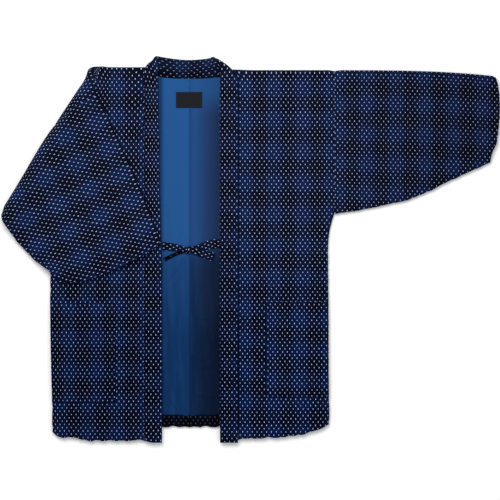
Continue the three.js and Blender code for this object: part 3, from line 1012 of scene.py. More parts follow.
class Sleeve(ClothPiece):
    """A sleeve, folded along its top, with back and front sewn together under the arm."""

    slot = Slot.OUTER
    columns = Stations((4, 76, 5))
    rows = Stations((6, 64, 10, 64, 6))
    armhole_edge = 12.0
    armhole_gap = 0.1
    underarm_ripple = 1.3
    fold_run = 10.0
    cuff_columns = 10

    def __init__(self, side: Side, check: CheckPlace, folds: list[SoftFold]) -> None:
        """Set up the piece for one side.

        Args:
            side: The viewer's left or right.
            check: Where the check lies on it.
            folds: Its soft folds.
        """
        self.take_side(side, "sleeve", "padded")
        self.lie = FoldedSide(side)
        self.held = Held.FOLDED
        self.start = CUT.armhole_half_width + self.armhole_gap
        reach = CUT.sleeve_length + CUT.cuff_bulge
        self.flat_size = (reach, 2 * CUT.armhole_depth)
        self.check = check
        self.folds = folds
        self.pulls = SLEEVE_PULLS[side]
        self.padding = Padding(seed=11.0 * side.hand, pucker=1.0)

    def width_at(self, x: float) -> float:
        """Width of the flattened sleeve from its top fold to the underarm seam.

        Args:
            x: Distance from the centre back.

        Returns:
            The width.
        """
        ripple = wavy(x, self.underarm_ripple * CUT.ripple, CUT.ripple_pitch, 6)
        ripple *= ease((x - self.start) / self.armhole_edge)
        return curve_value(self.lie.half.sleeve_widths, self.start + CUT.sleeve_length - x) + ripple

    def cuff_at(self, share: float) -> float:
        """Place of the cuff's edge at a share of the way down from the top fold."""
        ripple = wavy(share * CUT.armhole_depth, CUT.ripple, CUT.ripple_pitch, 8)
        return self.start + CUT.sleeve_length + CUT.cuff_reach(share) + ripple

    def cut_point(self, column: int, row: int) -> tuple[float, float]:
        """Flat pattern point of a column and row.

        Args:
            column: Number of the column.
            row: Number of the row.

        Returns:
            The point, in millimetres.
        """
        nominal = CUT.armhole_depth
        axis = CUT.fold_axis
        edge = CUT.pinch_run
        even = self.rows.value(row, [-nominal, edge - nominal, -axis, axis, nominal - edge, nominal])
        cuff = self.cuff_at(abs(even) / nominal)
        anchors = [self.start, self.start + self.armhole_edge, cuff - CUT.hem_edge, cuff]
        x = self.columns.value(column, anchors)
        width = self.width_at(x)
        return x, self.rows.value(row, [-width, edge - width, -axis, axis, width - edge, width])

    def wall(self, x: float, y: float) -> tuple[float, float]:
        """Heights of the outer and the inner face.

        Args:
            x: Distance from the centre back.
            y: Place along the pattern.

        Returns:
            Heights of both faces.
        """
        width = self.width_at(x)
        under_gap = width - abs(y)
        hem_gap = self.cuff_at(min(abs(y) / width, 1)) - x
        outer, inner = padded_faces(pinch_gap=under_gap, seam_gap=x - self.start, hem_gap=hem_gap)
        rise = self.padding.rise(x, y, [(under_gap, x), (x - self.start, y), (hem_gap, y)])
        rise += sum(fold.rise(x, -abs(y)) for fold in self.folds) * ease(under_gap / self.fold_run)
        return outer - rise * self.lie.up_share(x, y), inner

    def lay(self, point: Vector) -> Vector:
        """Fold the front over the back, let the sleeve slope, and lay the left one over the front.

        Args:
            point: The point, in millimetres.

        Returns:
            The point as it lies.
        """
        laid = TOP_FOLD.turn(point)
        share = max(laid.x - self.start, 0) / CUT.sleeve_length
        bow = (share - share**3) * max(1 + laid.y / CUT.armhole_depth, 0)
        laid.y += self.lie.half.shoulder + CUT.sleeve_drop * (bow - share)
        return self.lie.laid(laid)

    def finish_of_face(self, column: float, _row: float, height: float) -> int:
        """Outer cloth outside and along the cuff, lining on the inside."""
        in_cuff = column > self.columns.total - self.cuff_columns
        return 0 if height < INNER_FACE or in_cuff else 1


class Pocket(ClothPiece):
    """A patch pocket on the front, one edge caught in the side seam."""

    slot = Slot.OUTER
    columns = Stations((3, 26, 6))
    rows = Stations((3, 46, 3))
    edge = 6.0
    edge_run = 5.0
    edge_thinning = 0.6
    slack = 0.5
    slack_run = 30.0
    gap = 0.1
    stitch_inset = 2.2
    stitch_parts = 12
    stitch_rise = 0.05
    side_inset = 3.0

    def __init__(self, side: Side, body: BodyHalf, check: CheckPlace) -> None:
        """Set up the pocket on one front.

        Args:
            side: The viewer's left or right.
            body: The body half below it.
            check: Where the check lies on it.
        """
        self.take_side(side, "pocket", "patch")
        self.body = body
        self.half = CUT.halves[side]
        self.rests_on = (body.name,)
        self.held = Held.LAID
        width = CUT.body_half_width - self.half.pocket_in
        self.flat_size = (width, self.half.pocket_bottom - self.half.pocket_top)
        self.check = check
        self.pulls = body.pulls

    def cut_point(self, column: int, row: int) -> tuple[float, float]:
        """Flat pattern point of a column and row.

        Args:
            column: Number of the column.
            row: Number of the row.

        Returns:
            The point, in millimetres.
        """
        start, end = self.half.pocket_in, CUT.body_half_width
        top, bottom = self.half.pocket_top, self.half.pocket_bottom
        x = self.columns.value(column, [start, start + self.edge, end - CUT.pinch_run, end])
        return x, -self.rows.value(row, [bottom, bottom - self.edge, top + self.edge, top])

    def wall(self, x: float, y: float) -> tuple[float, float]:
        """Heights of the underside and the face, which follow the front below them.

        Args:
            x: Distance from the centre back.
            y: Place along the pattern.

        Returns:
            Heights of both faces.
        """
        edge_gap = min(x - self.half.pocket_in, -y - self.half.pocket_top, y + self.half.pocket_bottom)
        thickness = CUT.pocket_wall * (1 - self.edge_thinning * (1 - ease(edge_gap / self.edge_run)))
        slack = self.slack * ease((edge_gap - self.edge_run) / self.slack_run)
        bottom = self.body.front_height(x, -y) + self.gap
        return bottom, bottom + thickness + slack

    def stitch_line(self) -> list[Vector]:
        """Line of the seam, down the inner edge and along the bottom.

        Returns:
            Points of the line.
        """
        inset, parts = self.stitch_inset, self.stitch_parts
        left, right = self.half.pocket_in + inset, CUT.body_half_width - self.side_inset
        top, bottom = self.half.pocket_top + inset, self.half.pocket_bottom - inset
        down = [(left, mix(top, bottom, part / parts)) for part in range(parts + 1)]
        along = [(mix(left, right, part / parts), bottom) for part in range(1, parts + 1)]
        return [
            self.settled(Vector((x, -drop, self.wall(x, -drop)[1] + self.stitch_rise)))
            for x, drop in down + along
        ]


class InnerLayer(ClothPiece):
    """A thin layer on the back, between the centre seam and a tuck under the collar band."""

    columns = Stations((4, 30, 8))
    edge = 4.0
    calm_start = 14.0
    calm_run = 12.0

    def __init__(self, side: Side, folds: list[SoftFold]) -> None:
        """Set up the layer for one side.

        Args:
            side: The viewer's left or right.
            folds: Its soft folds.
        """
        self.side = side
        self.half = CUT.halves[side]
        self.free = CUT.opening(side)
        self.folds = folds
        self.held = Held.LAID
        self.rests_on = (f"body_{side.value}_padded",)

    def ends(self, x: float) -> tuple[float, float]:
        """Lower and upper end of the layer at a distance from the centre back."""
        raise NotImplementedError

    def cut_point(self, column: int, row: int) -> tuple[float, float]:
        """Flat pattern point of a column and row.

        Args:
            column: Number of the column.
            row: Number of the row.

        Returns:
            The point, in millimetres.
        """
        start = CUT.centre_gap / 2
        anchors = [start, start + self.edge, self.free - self.edge, self.free + CUT.lining_tuck]
        x = self.columns.value(column, anchors)
        low, high = self.ends(x)
        return x, self.rows.value(row, [low, high])

    def lift(self, x: float, y: float) -> float:
        """Height of the soft folds above the flat layer, calm towards the band."""
        calm = 1 - ease((x - self.free + self.calm_start) / self.calm_run)
        return calm * sum(fold.rise(self.side.hand * x, y) for fold in self.folds)


class Lining(InnerLayer):
    """The blue lining of the back, as it shows between the collar bands."""

    slot = Slot.LINING
    rows = Stations((300,))
    grain_height = 0.25
    grain_size = (14.0, 60.0)
    grain_run = 12.0
    neck_tuck = 1.2
    ridge_height = 0.7
    ridge_place = 2.6
    ridge_width = 1.8
    ridge_start = 0.2
    ridge_run = 1.5
    seam_depth = 0.5
    seam_width = 1.6

    def __init__(self, side: Side, folds: list[SoftFold]) -> None:
        """Set up the lining for one side.

        Args:
            side: The viewer's left or right.
            folds: Its soft folds.
        """
        super().__init__(side, folds)
        self.take_side(side, "lining", "cloth")
        self.flat_size = (self.free + CUT.lining_tuck, CUT.back_hem - CUT.turn_up)
        self.check = CheckPlace(0, 0, across=61.8 * side.hand)

    def ends(self, x: float) -> tuple[float, float]:
        """From the turn-up to the neck seam."""
        return CUT.turn_up_edge(x) + CUT.seam_gap, CUT.neck_seam(x) + self.neck_tuck

    def wall(self, x: float, y: float) -> tuple[float, float]:
        """Heights of the underside and the face, drawn down at the centre seam.

        Args:
            x: Distance from the centre back.
            y: Place along the pattern.

        Returns:
            Heights of both faces.
        """
        bottom = CUT.lining_bottom
        lift = self.lift(x, y)
        across, along = self.grain_size
        grain = noise.noise(Vector((self.side.hand * x / across, y / along, 2)))
        grain *= ease(x / self.grain_run)
        ridge = math.exp(-(((x - self.ridge_place) / self.ridge_width) ** 2))
        ridge *= ease((x - self.ridge_start) / self.ridge_run)
        relief = self.grain_height * grain + self.ridge_height * ridge
        relief -= self.seam_depth * (1 - ease(x / self.seam_width))
        return bottom + lift, bottom + CUT.lining_wall + lift + relief


class TurnUp(InnerLayer):
    """The strip of outer cloth turned up inside the back hem."""

    slot = Slot.OUTER
    rows = Stations((9,))
    edge_run = 5.0
    edge_thinning = 0.6
    wave_height = 0.3
    wave_size = (16.0, 20.0)
    wave_run = 6.0

    def __init__(self, side: Side, check: CheckPlace) -> None:
        """Set up the strip for one side.

        Args:
            side: The viewer's left or right.
            check: Where the check lies on it.
        """
        super().__init__(side, [])
        self.take_side(side, "hem_turnup", "strip")
        self.flat_size = (self.free + CUT.lining_tuck, CUT.turn_up)
        self.check = check

    def ends(self, x: float) -> tuple[float, float]:
        """From just above the hem to the lining's edge."""
        return 1 - CUT.back_hem_edge(x), CUT.turn_up_edge(x)

    def wall(self, x: float, y: float) -> tuple[float, float]:
        """Heights of the underside and the face, softly rounded at both edges.

        Args:
            x: Distance from the centre back.
            y: Place along the pattern.

        Returns:
            Heights of both faces.
        """
        low, high = self.ends(x)
        edge_gap = min(y - low, high - y)
        face = CUT.turn_up_wall * (1 - self.edge_thinning * (1 - ease(edge_gap / self.edge_run)))
        across, along = self.wave_size
        wave = noise.noise(Vector((x / across, y / along, 7 * self.side.hand)))
        wave *= self.wave_height * ease(edge_gap / self.wave_run)
        return CUT.lining_bottom, CUT.lining_bottom + face + wave


class Collar(ClothPiece):
    """The long collar band, behind the neck and down both fronts, with two diagonal corner folds."""

    slot = Slot.OUTER
    columns = Stations((4, 160, 30, 76, 30, 160, 4))
    rows = Stations((3, 7, 3))
    seam_shadow_column = 408
    corner_out = 60.0
    corner_in = 30.0
    edge = 6.0
    rounding_run = 7.0
    rounding = 0.72
    inner_rise = 0.6
    dark_across = (-4.0, 4.0)
    dark_along = (22.0, 8.4)

    def __init__(self, check: CheckPlace) -> None:
        """Work out the corners and the ends of the strip.

        Args:
            check: Where the check lies on it.
        """
        self.name = "collar_padded"
        self.node = "collar"
        self.held = Held.FOLDED
        self.corner_x = {
            side: side.hand * (CUT.band_seam(side, 0) - CUT.band_width / 2) for side in Side
        }
        self.ends = [
            self.corner_x[side] + side.hand * (CUT.body_length + CUT.neck_height) for side in Side
        ]
        self.flat_size = (self.ends[1] - self.ends[0], CUT.band_width)
        self.check = check
        self.pulls = COLLAR_PULLS
        self.inner_shift = 17.0
        self.padding = Padding(
            crown=1.5, crown_reach=14, pucker=0.6, pucker_reach=9, swell=0.5, swell_pitch=42, seed=21
        )
        self.corner_folds = [
            RoundFold(
                edge=(self.corner_x[side], CUT.neck_height),
                outward=(side.hand, 1),
                axis=CUT.collar_axis,
            )
            for side in Side
        ]

    def strip_middle(self, x: float) -> float:
        """Middle of the flat strip, bent by the neck's sag and the band's flare.

        Args:
            x: Distance from the centre back.

        Returns:
            The middle's place along y.
        """
        side = Side.LEFT if x < 0 else Side.RIGHT
        drop = abs(x) - abs(self.corner_x[side]) - CUT.neck_height
        return CUT.neck_middle(x) + CUT.halves[side].flare * (1 - CUT.flare_share(drop))

    def cut_point(self, column: int, row: int) -> tuple[float, float]:
        """Flat pattern point of a column and row.

        Args:
            column: Number of the column.
            row: Number of the row.

        Returns:
            The point, in millimetres.
        """
        low, high = self.ends
        left, right = self.corner_x[Side.LEFT], self.corner_x[Side.RIGHT]
        anchors = [
            low,
            low + CUT.hem_edge,
            left - self.corner_out,
            left + self.corner_in,
            right - self.corner_in,
            right + self.corner_out,
            high - CUT.hem_edge,
            high,
        ]
        x = self.columns.value(column, anchors)
        half = CUT.band_width / 2
        across = self.rows.value(row, [-half, self.edge - half, half - self.edge, half])
        return x, self.strip_middle(x) + across

    def wall(self, x: float, y: float) -> tuple[float, float]:
        """Heights of the faces: round at both edges and at the ends, crowned between them.

        Args:
            x: Distance from the centre back.
            y: Place along the pattern.

        Returns:
            Heights of both faces.
        """
        across = y - self.strip_middle(x)
        edge_gap = CUT.band_width / 2 - abs(across)
        end_gap = min(x - self.ends[0], self.ends[1] - x)
        rounding = 1 - ease(min(edge_gap, end_gap) / self.rounding_run)
        half_wall = CUT.collar_wall / 2 * (1 - self.rounding * rounding)
        rise = self.padding.rise(x, y, [(edge_gap, x)])
        on_band = ease((abs(x) - self.corner_out) / self.corner_out)
        middle = CUT.collar_wall / 2
        outer = middle - half_wall - rise * on_band
        return outer, middle + half_wall + self.inner_rise * rise * (1 - on_band)

    def cloth_point(self, x: float, y: float, shift: float) -> Vector:
        """Place in the weave of a point of the strip, which is cut along the cloth's length.

        Args:
            x: Distance from the centre back.
            y: Place along the pattern.
            shift: Shift in the weave.

        Returns:
            The place, in metres.
        """
        across = y - self.strip_middle(x)
        share = ease((x + CUT.neck_half_width) / (2 * CUT.neck_half_width))
        dark = Vector((mix(*self.dark_across, share), mix(*self.dark_along, share)))
        return self.check.cloth_point(across - dark.x + shift, x - dark.y)

    def finish_of_face(self, column: float, row: float, height: float) -> int:
        """Painted shade: the dimmer copy of the cotton behind the neck, and the darkest copy as a shadow
        line along the right band's seam.
        """
        # Painted shadow line: the outermost row of the right band takes the darkest copy of the cotton.
        seam_shadow = 2 if row < 1 and column > self.seam_shadow_column else 0
        return 1 if height > INNER_FACE else seam_shadow

    def lay(self, point: Vector) -> Vector:
        """Turn the strip down over both corners.

        Args:
            point: The point, in millimetres.

        Returns:
            The point as it lies.
        """
        for fold in self.corner_folds:
            point = fold.turn(point)
        return point


@dataclass(frozen=True)
class TieStation:
    """One point of a tie's middle line with the tie's width there, in millimetres."""

    x: float
    y: float
    z: float
    width: float


def tie_route(*rows: tuple[float, ...]) -> list[TieStation]:
    """Stations from rows of x, y, z and width."""
    return [TieStation(*row) for row in rows]


LEFT_TIE = tie_route(
    (-58.5, -379, 11.8, 17),
    (-50, -379.2, 11.6, 17),
    (-38, -381, 11.4, 16),
    (-25, -383, 12.2, 13.5),
    (-13, -385, 13.2, 10.5),
    (-1, -387, 13.6, 9),
    (10, -389.5, 13.5, 12),
    (22, -393, 12.8, 15.5),
    (36, -397.5, 10.8, 17.5),
    (52, -403, 9.8, 18),
)
RIGHT_TIE = tie_route(
    (64.9, -373.5, 11.8, 17),
    (54, -373.8, 11.4, 18),
    (40, -377, 10.4, 18),
    (26, -381, 9.8, 15.5),
    (12, -384.5, 9.6, 11.5),
    (-1, -387, 9.6, 9),
    (-14, -390.5, 9.6, 7.5),
    (-28, -395.5, 9.6, 7),
    (-42, -402, 9.6, 7.5),
    (-54, -408, 9.6, 8.5),
)


@dataclass
class Tie:
    """A narrow tie: a tube of outer cloth, flat where it lies free and bunched at the knot."""

    name: str
    node: str
    route: list[TieStation]
    wall: float = 3.0
    gather: float = 1.2
    # From this share of its way on, the tie takes the painted-shade copy of the cotton.
    shaded_from: float = 1.0
    steps_between: int = 6
    around: int = 24
    edge_power: float = 0.7
    face_power: float = 0.8
    bunch_width: float = 8.0
    bunch_run: float = 5.0
    crease: float = 0.55
    crease_turns: float = 1.1
    crease_least: float = 0.4
    wave: float = 0.35
    wave_along: float = 11.0
    wave_across: float = 4.0

    def station(self, share: float) -> tuple[Vector, Vector, float]:
        """Middle, direction and width of the tie at a share of its route.

        Args:
            share: Share of the way, from 0 to 1.

        Returns:
            Middle, direction and width.
        """
        last = len(self.route) - 1
        keys = [float(number) for number in range(last + 1)]
        place = share * last
        columns = [
            [getattr(station, axis) for station in self.route] for axis in ("x", "y", "z", "width")
        ]
        x, y, z, width = (curve_value(list(zip(keys, column)), place) for column in columns)
        step = 0.02
        ahead = [
            curve_value(list(zip(keys, column)), min(place + step, last))
            - curve_value(list(zip(keys, column)), max(place - step, 0))
            for column in columns[:3]
        ]
        return Vector((x, y, z)), Vector(ahead).normalized(), width

    def path(self) -> list[Vector]:
        """Points of the middle line in the frame, in metres."""
        steps = (len(self.route) - 1) * self.steps_between
        return [placed(self.station(step / steps)[0]) for step in range(steps + 1)]

    def section(self, turn: float, width: float, share: float) -> tuple[float, float]:
        """Point of the tie's flat round section, creased along its middle.

        Args:
            turn: Angle round the section.
            width: The tie's width there.
            share: Share of the way along the tie.

        Returns:
            The distance across and up from the middle line.
        """
        across = rounded(math.cos(turn), self.edge_power) * width / 2
        up = rounded(math.sin(turn), self.face_power) * self.wall / 2
        bunch = 1 - ease((width - self.bunch_width) / self.bunch_run)
        crease = self.crease * math.cos(across * (self.crease_turns + bunch)) * (self.crease_least + bunch)
        wave = self.wave * noise.noise(Vector((share * self.wave_along, across / self.wave_across, 1)))
        return across, up + (crease + wave) * abs(math.sin(turn))

    def build(self, finishes: list[Material]) -> Object:
        """Sweep the section along the route and close its ends.

        Args:
            finishes: Its materials.

        Returns:
            The tie.
        """
        steps = (len(self.route) - 1) * self.steps_between
        tube = bmesh.new()
        bmesh.ops.create_grid(tube, x_segments=steps, y_segments=self.around, size=0.5)
        cloth_map = tube.loops.layers.uv.new("cloth")
        start = self.station(0)[0]
        weave_place = {}
        for vert in tube.verts:
            share = vert.co.x + 0.5
            turn = 2 * math.pi * (vert.co.y + 0.5)
            middle, ahead, width = self.station(share)
            across, up = self.section(turn, width, share)
            sideways = Vector((-ahead.y, ahead.x, 0)).normalized()
            vert.co = placed(middle + sideways * across + Vector((0, 0, up)))
            weave_place[vert] = Vector((across * self.gather, (middle - start).length)) * MM
        for number, face in enumerate(tube.faces):
            face.smooth = True
            along = (number % steps + 0.5) / steps
            # Faces past shaded_from take the painted-shade copy of the cotton.
            face.material_index = 1 if along > self.shaded_from else 0
            for loop in face.loops:
                loop[cloth_map].uv = weave_place[loop.vert]
        bmesh.ops.remove_doubles(tube, verts=tube.verts[:], dist=0.01 * MM)
        rims = [edge for edge in tube.edges if edge.is_boundary]
        bmesh.ops.holes_fill(tube, edges=rims, sides=0)
        bmesh.ops.recalc_face_normals(tube, faces=tube.faces[:])
        piece = finished_object(self.name, tube, finishes)
        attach(piece, "root")
        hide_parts(self.node)
        return piece

    def declare(self, piece: Object) -> None:
        """Log the tie's length.

        Args:
            piece: The finished tie; not used.
        """
        path = self.path()
        length = sum((after - before).length for before, after in zip(path, path[1:]))
        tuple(path[0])
        max(station.width for station in self.route) * MM
        log.info("%s: %.3f m long", self.name, length)


@dataclass
class KnotWrap:
    """The turn of the left tie that goes round both ties at the knot."""

    x: float = -1.5
    y: float = -387.5
    z: float = 12.2
    half_height: float = 7.0
    half_depth: float = 3.2
    width: float = 11.0
    wall: float = 2.6
    slant: float = 2.5
    steps: int = 40
    around: int = 20
    edge_power: float = 0.6
    face_power: float = 0.8
    crease: float = 0.3
    crease_turns: float = 5.5
    waist: float = 0.16
    cloth_size: tuple[float, float] = (0.040, 0.046)
    name: str = "tie_knot_wrap"

    def build(self, finish: Material) -> Object:
        """Sweep a flat soft band round the ties.

        Args:
            finish: Its material.

        Returns:
            The wrap.
        """
        ring = bmesh.new()
        bmesh.ops.create_grid(ring, x_segments=self.steps, y_segments=self.around, size=0.5)
        cloth_map = ring.loops.layers.uv.new("cloth")
        for face in ring.faces:
            face.smooth = True
            for loop in face.loops:
                across, along = self.cloth_size
                loop[cloth_map].uv = Vector((loop.vert.co.y * across, loop.vert.co.x * along))
        for vert in ring.verts:
            vert.co = placed(self.surface(2 * math.pi * vert.co.x, 2 * math.pi * vert.co.y))
        bmesh.ops.remove_doubles(ring, verts=ring.verts[:], dist=0.01 * MM)
        bmesh.ops.recalc_face_normals(ring, faces=ring.faces[:])
        piece = finished_object(self.name, ring, [finish])
        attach(piece, "root")
        return piece

    def surface(self, turn: float, round_section: float) -> Vector:
        """Point of the wrap.

        Args:
            turn: Angle round the ties.
            round_section: Angle round the band's own section.

        Returns:
            The point, in millimetres.
        """
        up, out = math.sin(turn), math.cos(turn)
        across = rounded(math.cos(round_section), self.edge_power)
        lift = rounded(math.sin(round_section), self.face_power)
        creases = math.cos(self.crease_turns * across) + noise.noise(Vector((3 * turn, 2 * across, 9)))
        reach = self.wall / 2 * lift + self.crease * creases * max(lift, 0)
        waist = 1 - self.waist * up
        return Vector(
            (
                self.x + across * self.width / 2 * waist + self.slant * out,
                self.y + (self.half_height + reach) * out,
                self.z + (self.half_depth + reach) * up,
            )
        )


@dataclass
class Label:
    """The plain woven label, sewn to the lining below the neck."""

    width: float = 56.0
    height: float = 34.0
    wall: float = 0.8
    x: float = PLACE.label_x
    y: float = PLACE.label_y
    lift: float = 0.35
    body_share: float = 0.6
    thread_lift: float = 0.1
    hem_height: float = 0.25
    hem_place: float = 2.2
    hem_width: float = 1.2
    wave_height: float = 0.25
    wave_pitch: float = 12.0
    name: str = "label_tape"

    def face_height(self) -> float:
        """Height of the tape's face above the surface, in millimetres."""
        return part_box("label")[0].z / MM + self.lift + self.body_share * self.wall + self.thread_lift

    def build(self, finish: Material) -> Object:
        """A thin tape with a folded edge all round.

        Args:
            finish: Its material.

        Returns:
            The label.
        """
        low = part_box("label")[0]
        tape = bmesh.new()
        bmesh.ops.create_grid(tape, x_segments=28, y_segments=18, size=0.5)
        cloth_map = tape.loops.layers.uv.new("cloth")
        for face in tape.faces:
            face.smooth = True
            for loop in face.loops:
                place = loop.vert.co
                loop[cloth_map].uv = Vector((place.x * self.width, place.y * self.height)) * MM
        for vert in tape.verts:
            x, y = vert.co.x * self.width, vert.co.y * self.height
            edge_gap = min(self.width / 2 - abs(x), self.height / 2 - abs(y))
            hem = self.hem_height * math.exp(-(((edge_gap - self.hem_place) / self.hem_width) ** 2))
            wave = self.wave_height * noise.noise(Vector((x, y, 4 * self.wave_pitch)) / self.wave_pitch)
            vert.co = placed(Vector((self.x + x, self.y + y, 0)))
            vert.co.z = low.z + (self.lift + hem + wave) * MM
        thicken(tape, self.body_share * self.wall * MM)
        piece = finished_object(self.name, tape, [finish])
        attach(piece, "root")
        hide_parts("label")
        return piece


@dataclass
class StitchRow:
    """A row of small stitches along a line on the cloth's face, in millimetres."""

    name: str
    line: list[Vector]
    pitch: float = 6.0
    length: float = 3.2
    thread: float = 0.55
    slant: float = 0.0

    def build(self, finish: Material) -> Object:
        """Make every stitch of the row as one joined mesh.

        Args:
            finish: Its material.

        Returns:
            The row.
        """
        row = bmesh.new()
        spare = self.pitch / 2
        for start, end in zip(self.line, self.line[1:]):
            run = end - start
            turn = math.atan2(run.y, run.x) + math.radians(self.slant)
            while spare < run.length:
                place = placed(start + run * (spare / run.length))
                size = Matrix.Diagonal(
                    (self.length / 2 * MM, self.thread / 2 * MM, self.thread / 2 * MM, 1)
                )
                lie = Matrix.Translation(place) @ Matrix.Rotation(turn, 4, "Z") @ size
                bmesh.ops.create_uvsphere(row, u_segments=6, v_segments=5, radius=1, matrix=lie)
                spare += self.pitch
            spare -= run.length
        for face in row.faces:
            face.smooth = True
        piece = finished_object(self.name, row, [finish])
        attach(piece, "root")
        return piece


class NodeDesk:
    """Adds and joins the nodes of one material."""

    def __init__(self, name: str) -> None:
        """Start a new material with an empty Principled shader.

        Args:
            name: Name of the material.
        """
        self.material = bpy.data.materials.new(name)
        self.material.use_nodes = True
        self.tree = self.material.node_tree
        self.shader = self.tree.nodes["Principled BSDF"]

    def add(self, kind: str, inputs: dict[int | str, object], **settings: object) -> Node:
        """A new node with its settings, and with its inputs fed.

        Args:
            kind: Blender's name of the node.
            inputs: For each input, a value or another node's output.
            **settings: Its settings.

        Returns:
            The node.
        """
        node = self.tree.nodes.new(kind)
        for key, value in settings.items():
            setattr(node, key, value)
        for key, source in inputs.items():
            self.feed(node.inputs[key], source)
        return node

    def feed(self, socket: NodeSocket, source: object) -> None:
        """Give an input a value, or another node's output.

        Args:
            socket: The input.
            source: The value or the output.
        """
        if isinstance(source, NodeSocket):
            self.tree.links.new(source, socket)
        else:
            socket.default_value = source

    def paint(self, colour: object) -> None:
        """Give the shader its colour."""
        self.feed(self.shader.inputs["Base Color"], colour)

    def math(self, operation: str, *sources: object) -> NodeSocket:
        """Output of a Math node."""
        return self.add("ShaderNodeMath", dict(enumerate(sources)), operation=operation).outputs[0]

    def times(self, first: object, second: object) -> NodeSocket:
        """Product of two values."""
        return self.math("MULTIPLY", first, second)

    def plus(self, first: object, second: object) -> NodeSocket:
        """Sum of two values."""
        return self.math("ADD", first, second)

    def centred(self, value: object, size: float) -> NodeSocket:
        """A value from 0 to 1, as one that swings round 0."""
        return self.times(self.math("SUBTRACT", value, 0.5), size)

    def between(self, value: object, low: float, high: float) -> NodeSocket:
        """Smooth step from 0 at low to 1 at high."""
        inputs = dict(enumerate((value, low, high, 0.0, 1.0)))
        return self.add("ShaderNodeMapRange", inputs, interpolation_type="SMOOTHSTEP").outputs[0]

    def blend(self, share: object, first: object, second: object, mode: str = "MIX") -> NodeSocket:
        """Mix of two colours."""
        inputs = {0: share, 6: first, 7: second}
        return self.add("ShaderNodeMix", inputs, data_type="RGBA", blend_type=mode).outputs[2]

    def tinted(self, colour: object, tint: object) -> NodeSocket:
        """A colour multiplied by a tint."""
        return self.blend(1.0, colour, tint, "MULTIPLY")

    def ramp(self, share: object, stops: tuple[tuple[float, Colour], ...]) -> NodeSocket:
        """Colour between the stops of a ramp.

        Args:
            share: Place on the ramp, from 0 to 1.
            stops: Places and colours, in order.

        Returns:
            The colour.
        """
        node = self.add("ShaderNodeValToRGB", {0: share})
        elements = node.color_ramp.elements
        elements[0].position, elements[0].color = stops[0]
        elements[1].position, elements[1].color = stops[-1]
        for position, colour in stops[1:-1]:
            elements.new(position).color = colour
        return node.outputs[0]

    def noise(self, vector: object, scale: float, detail: float = 2.0) -> NodeSocket:
        """Value of a noise texture."""
        inputs = {"Vector": vector, "Scale": scale, "Detail": detail}
        return self.add("ShaderNodeTexNoise", inputs).outputs[0]

    def streaks(self, vector: object, scale: float, stretch: float) -> NodeSocket:
        """Noise drawn out along the cloth's length."""
        drawn = self.add("ShaderNodeMapping", {"Vector": vector, "Scale": (1, stretch, 1)})
        return self.noise(drawn.outputs[0], scale)

    def split(self, vector: object) -> tuple[object, object]:
        """The first two coordinates of a vector."""
        parts = self.add("ShaderNodeSeparateXYZ", {0: vector})
        return parts.outputs[0], parts.outputs[1]

    def cloth_place(self) -> tuple[object, object, object]:
        """The cloth's own map, and its two coordinates in metres."""
        uv = self.add("ShaderNodeUVMap", {}, uv_map="cloth").outputs[0]
        return uv, *self.split(uv)

    def object_place(self) -> NodeSocket:
        """Place in the frame, in metres."""
        return self.add("ShaderNodeTexCoord", {}).outputs["Object"]

    def weave_height(self, u: object, v: object, thread: float) -> NodeSocket:
        """Height of a plain weave: threads of both systems, passing over each other."""
        over, under = (self.math("SINE", self.times(place, 2 * math.pi / thread)) for place in (u, v))
        return self.times(over, under)

    def bump(self, height: object, strength: float, distance: float) -> None:
        """Give the shader a bumpy face."""
        inputs = {"Strength": strength, "Distance": distance, "Height": height}
        self.feed(self.shader.inputs["Normal"], self.add("ShaderNodeBump", inputs).outputs[0])

    def cotton_face(self, roughness: float, sheen: float, gloss: float = 0.02) -> None:
        """Set the matt face of cotton.

        Args:
            roughness: Roughness of the face.
            sheen: Sheen of its fibres.
            gloss: Weight of its gloss.
        """
        self.shader.inputs["Roughness"].default_value = roughness
        self.shader.inputs["Specular IOR Level"].default_value = gloss
        self.shader.inputs["Sheen Weight"].default_value = sheen
        self.shader.inputs["Sheen Roughness"].default_value = 0.6


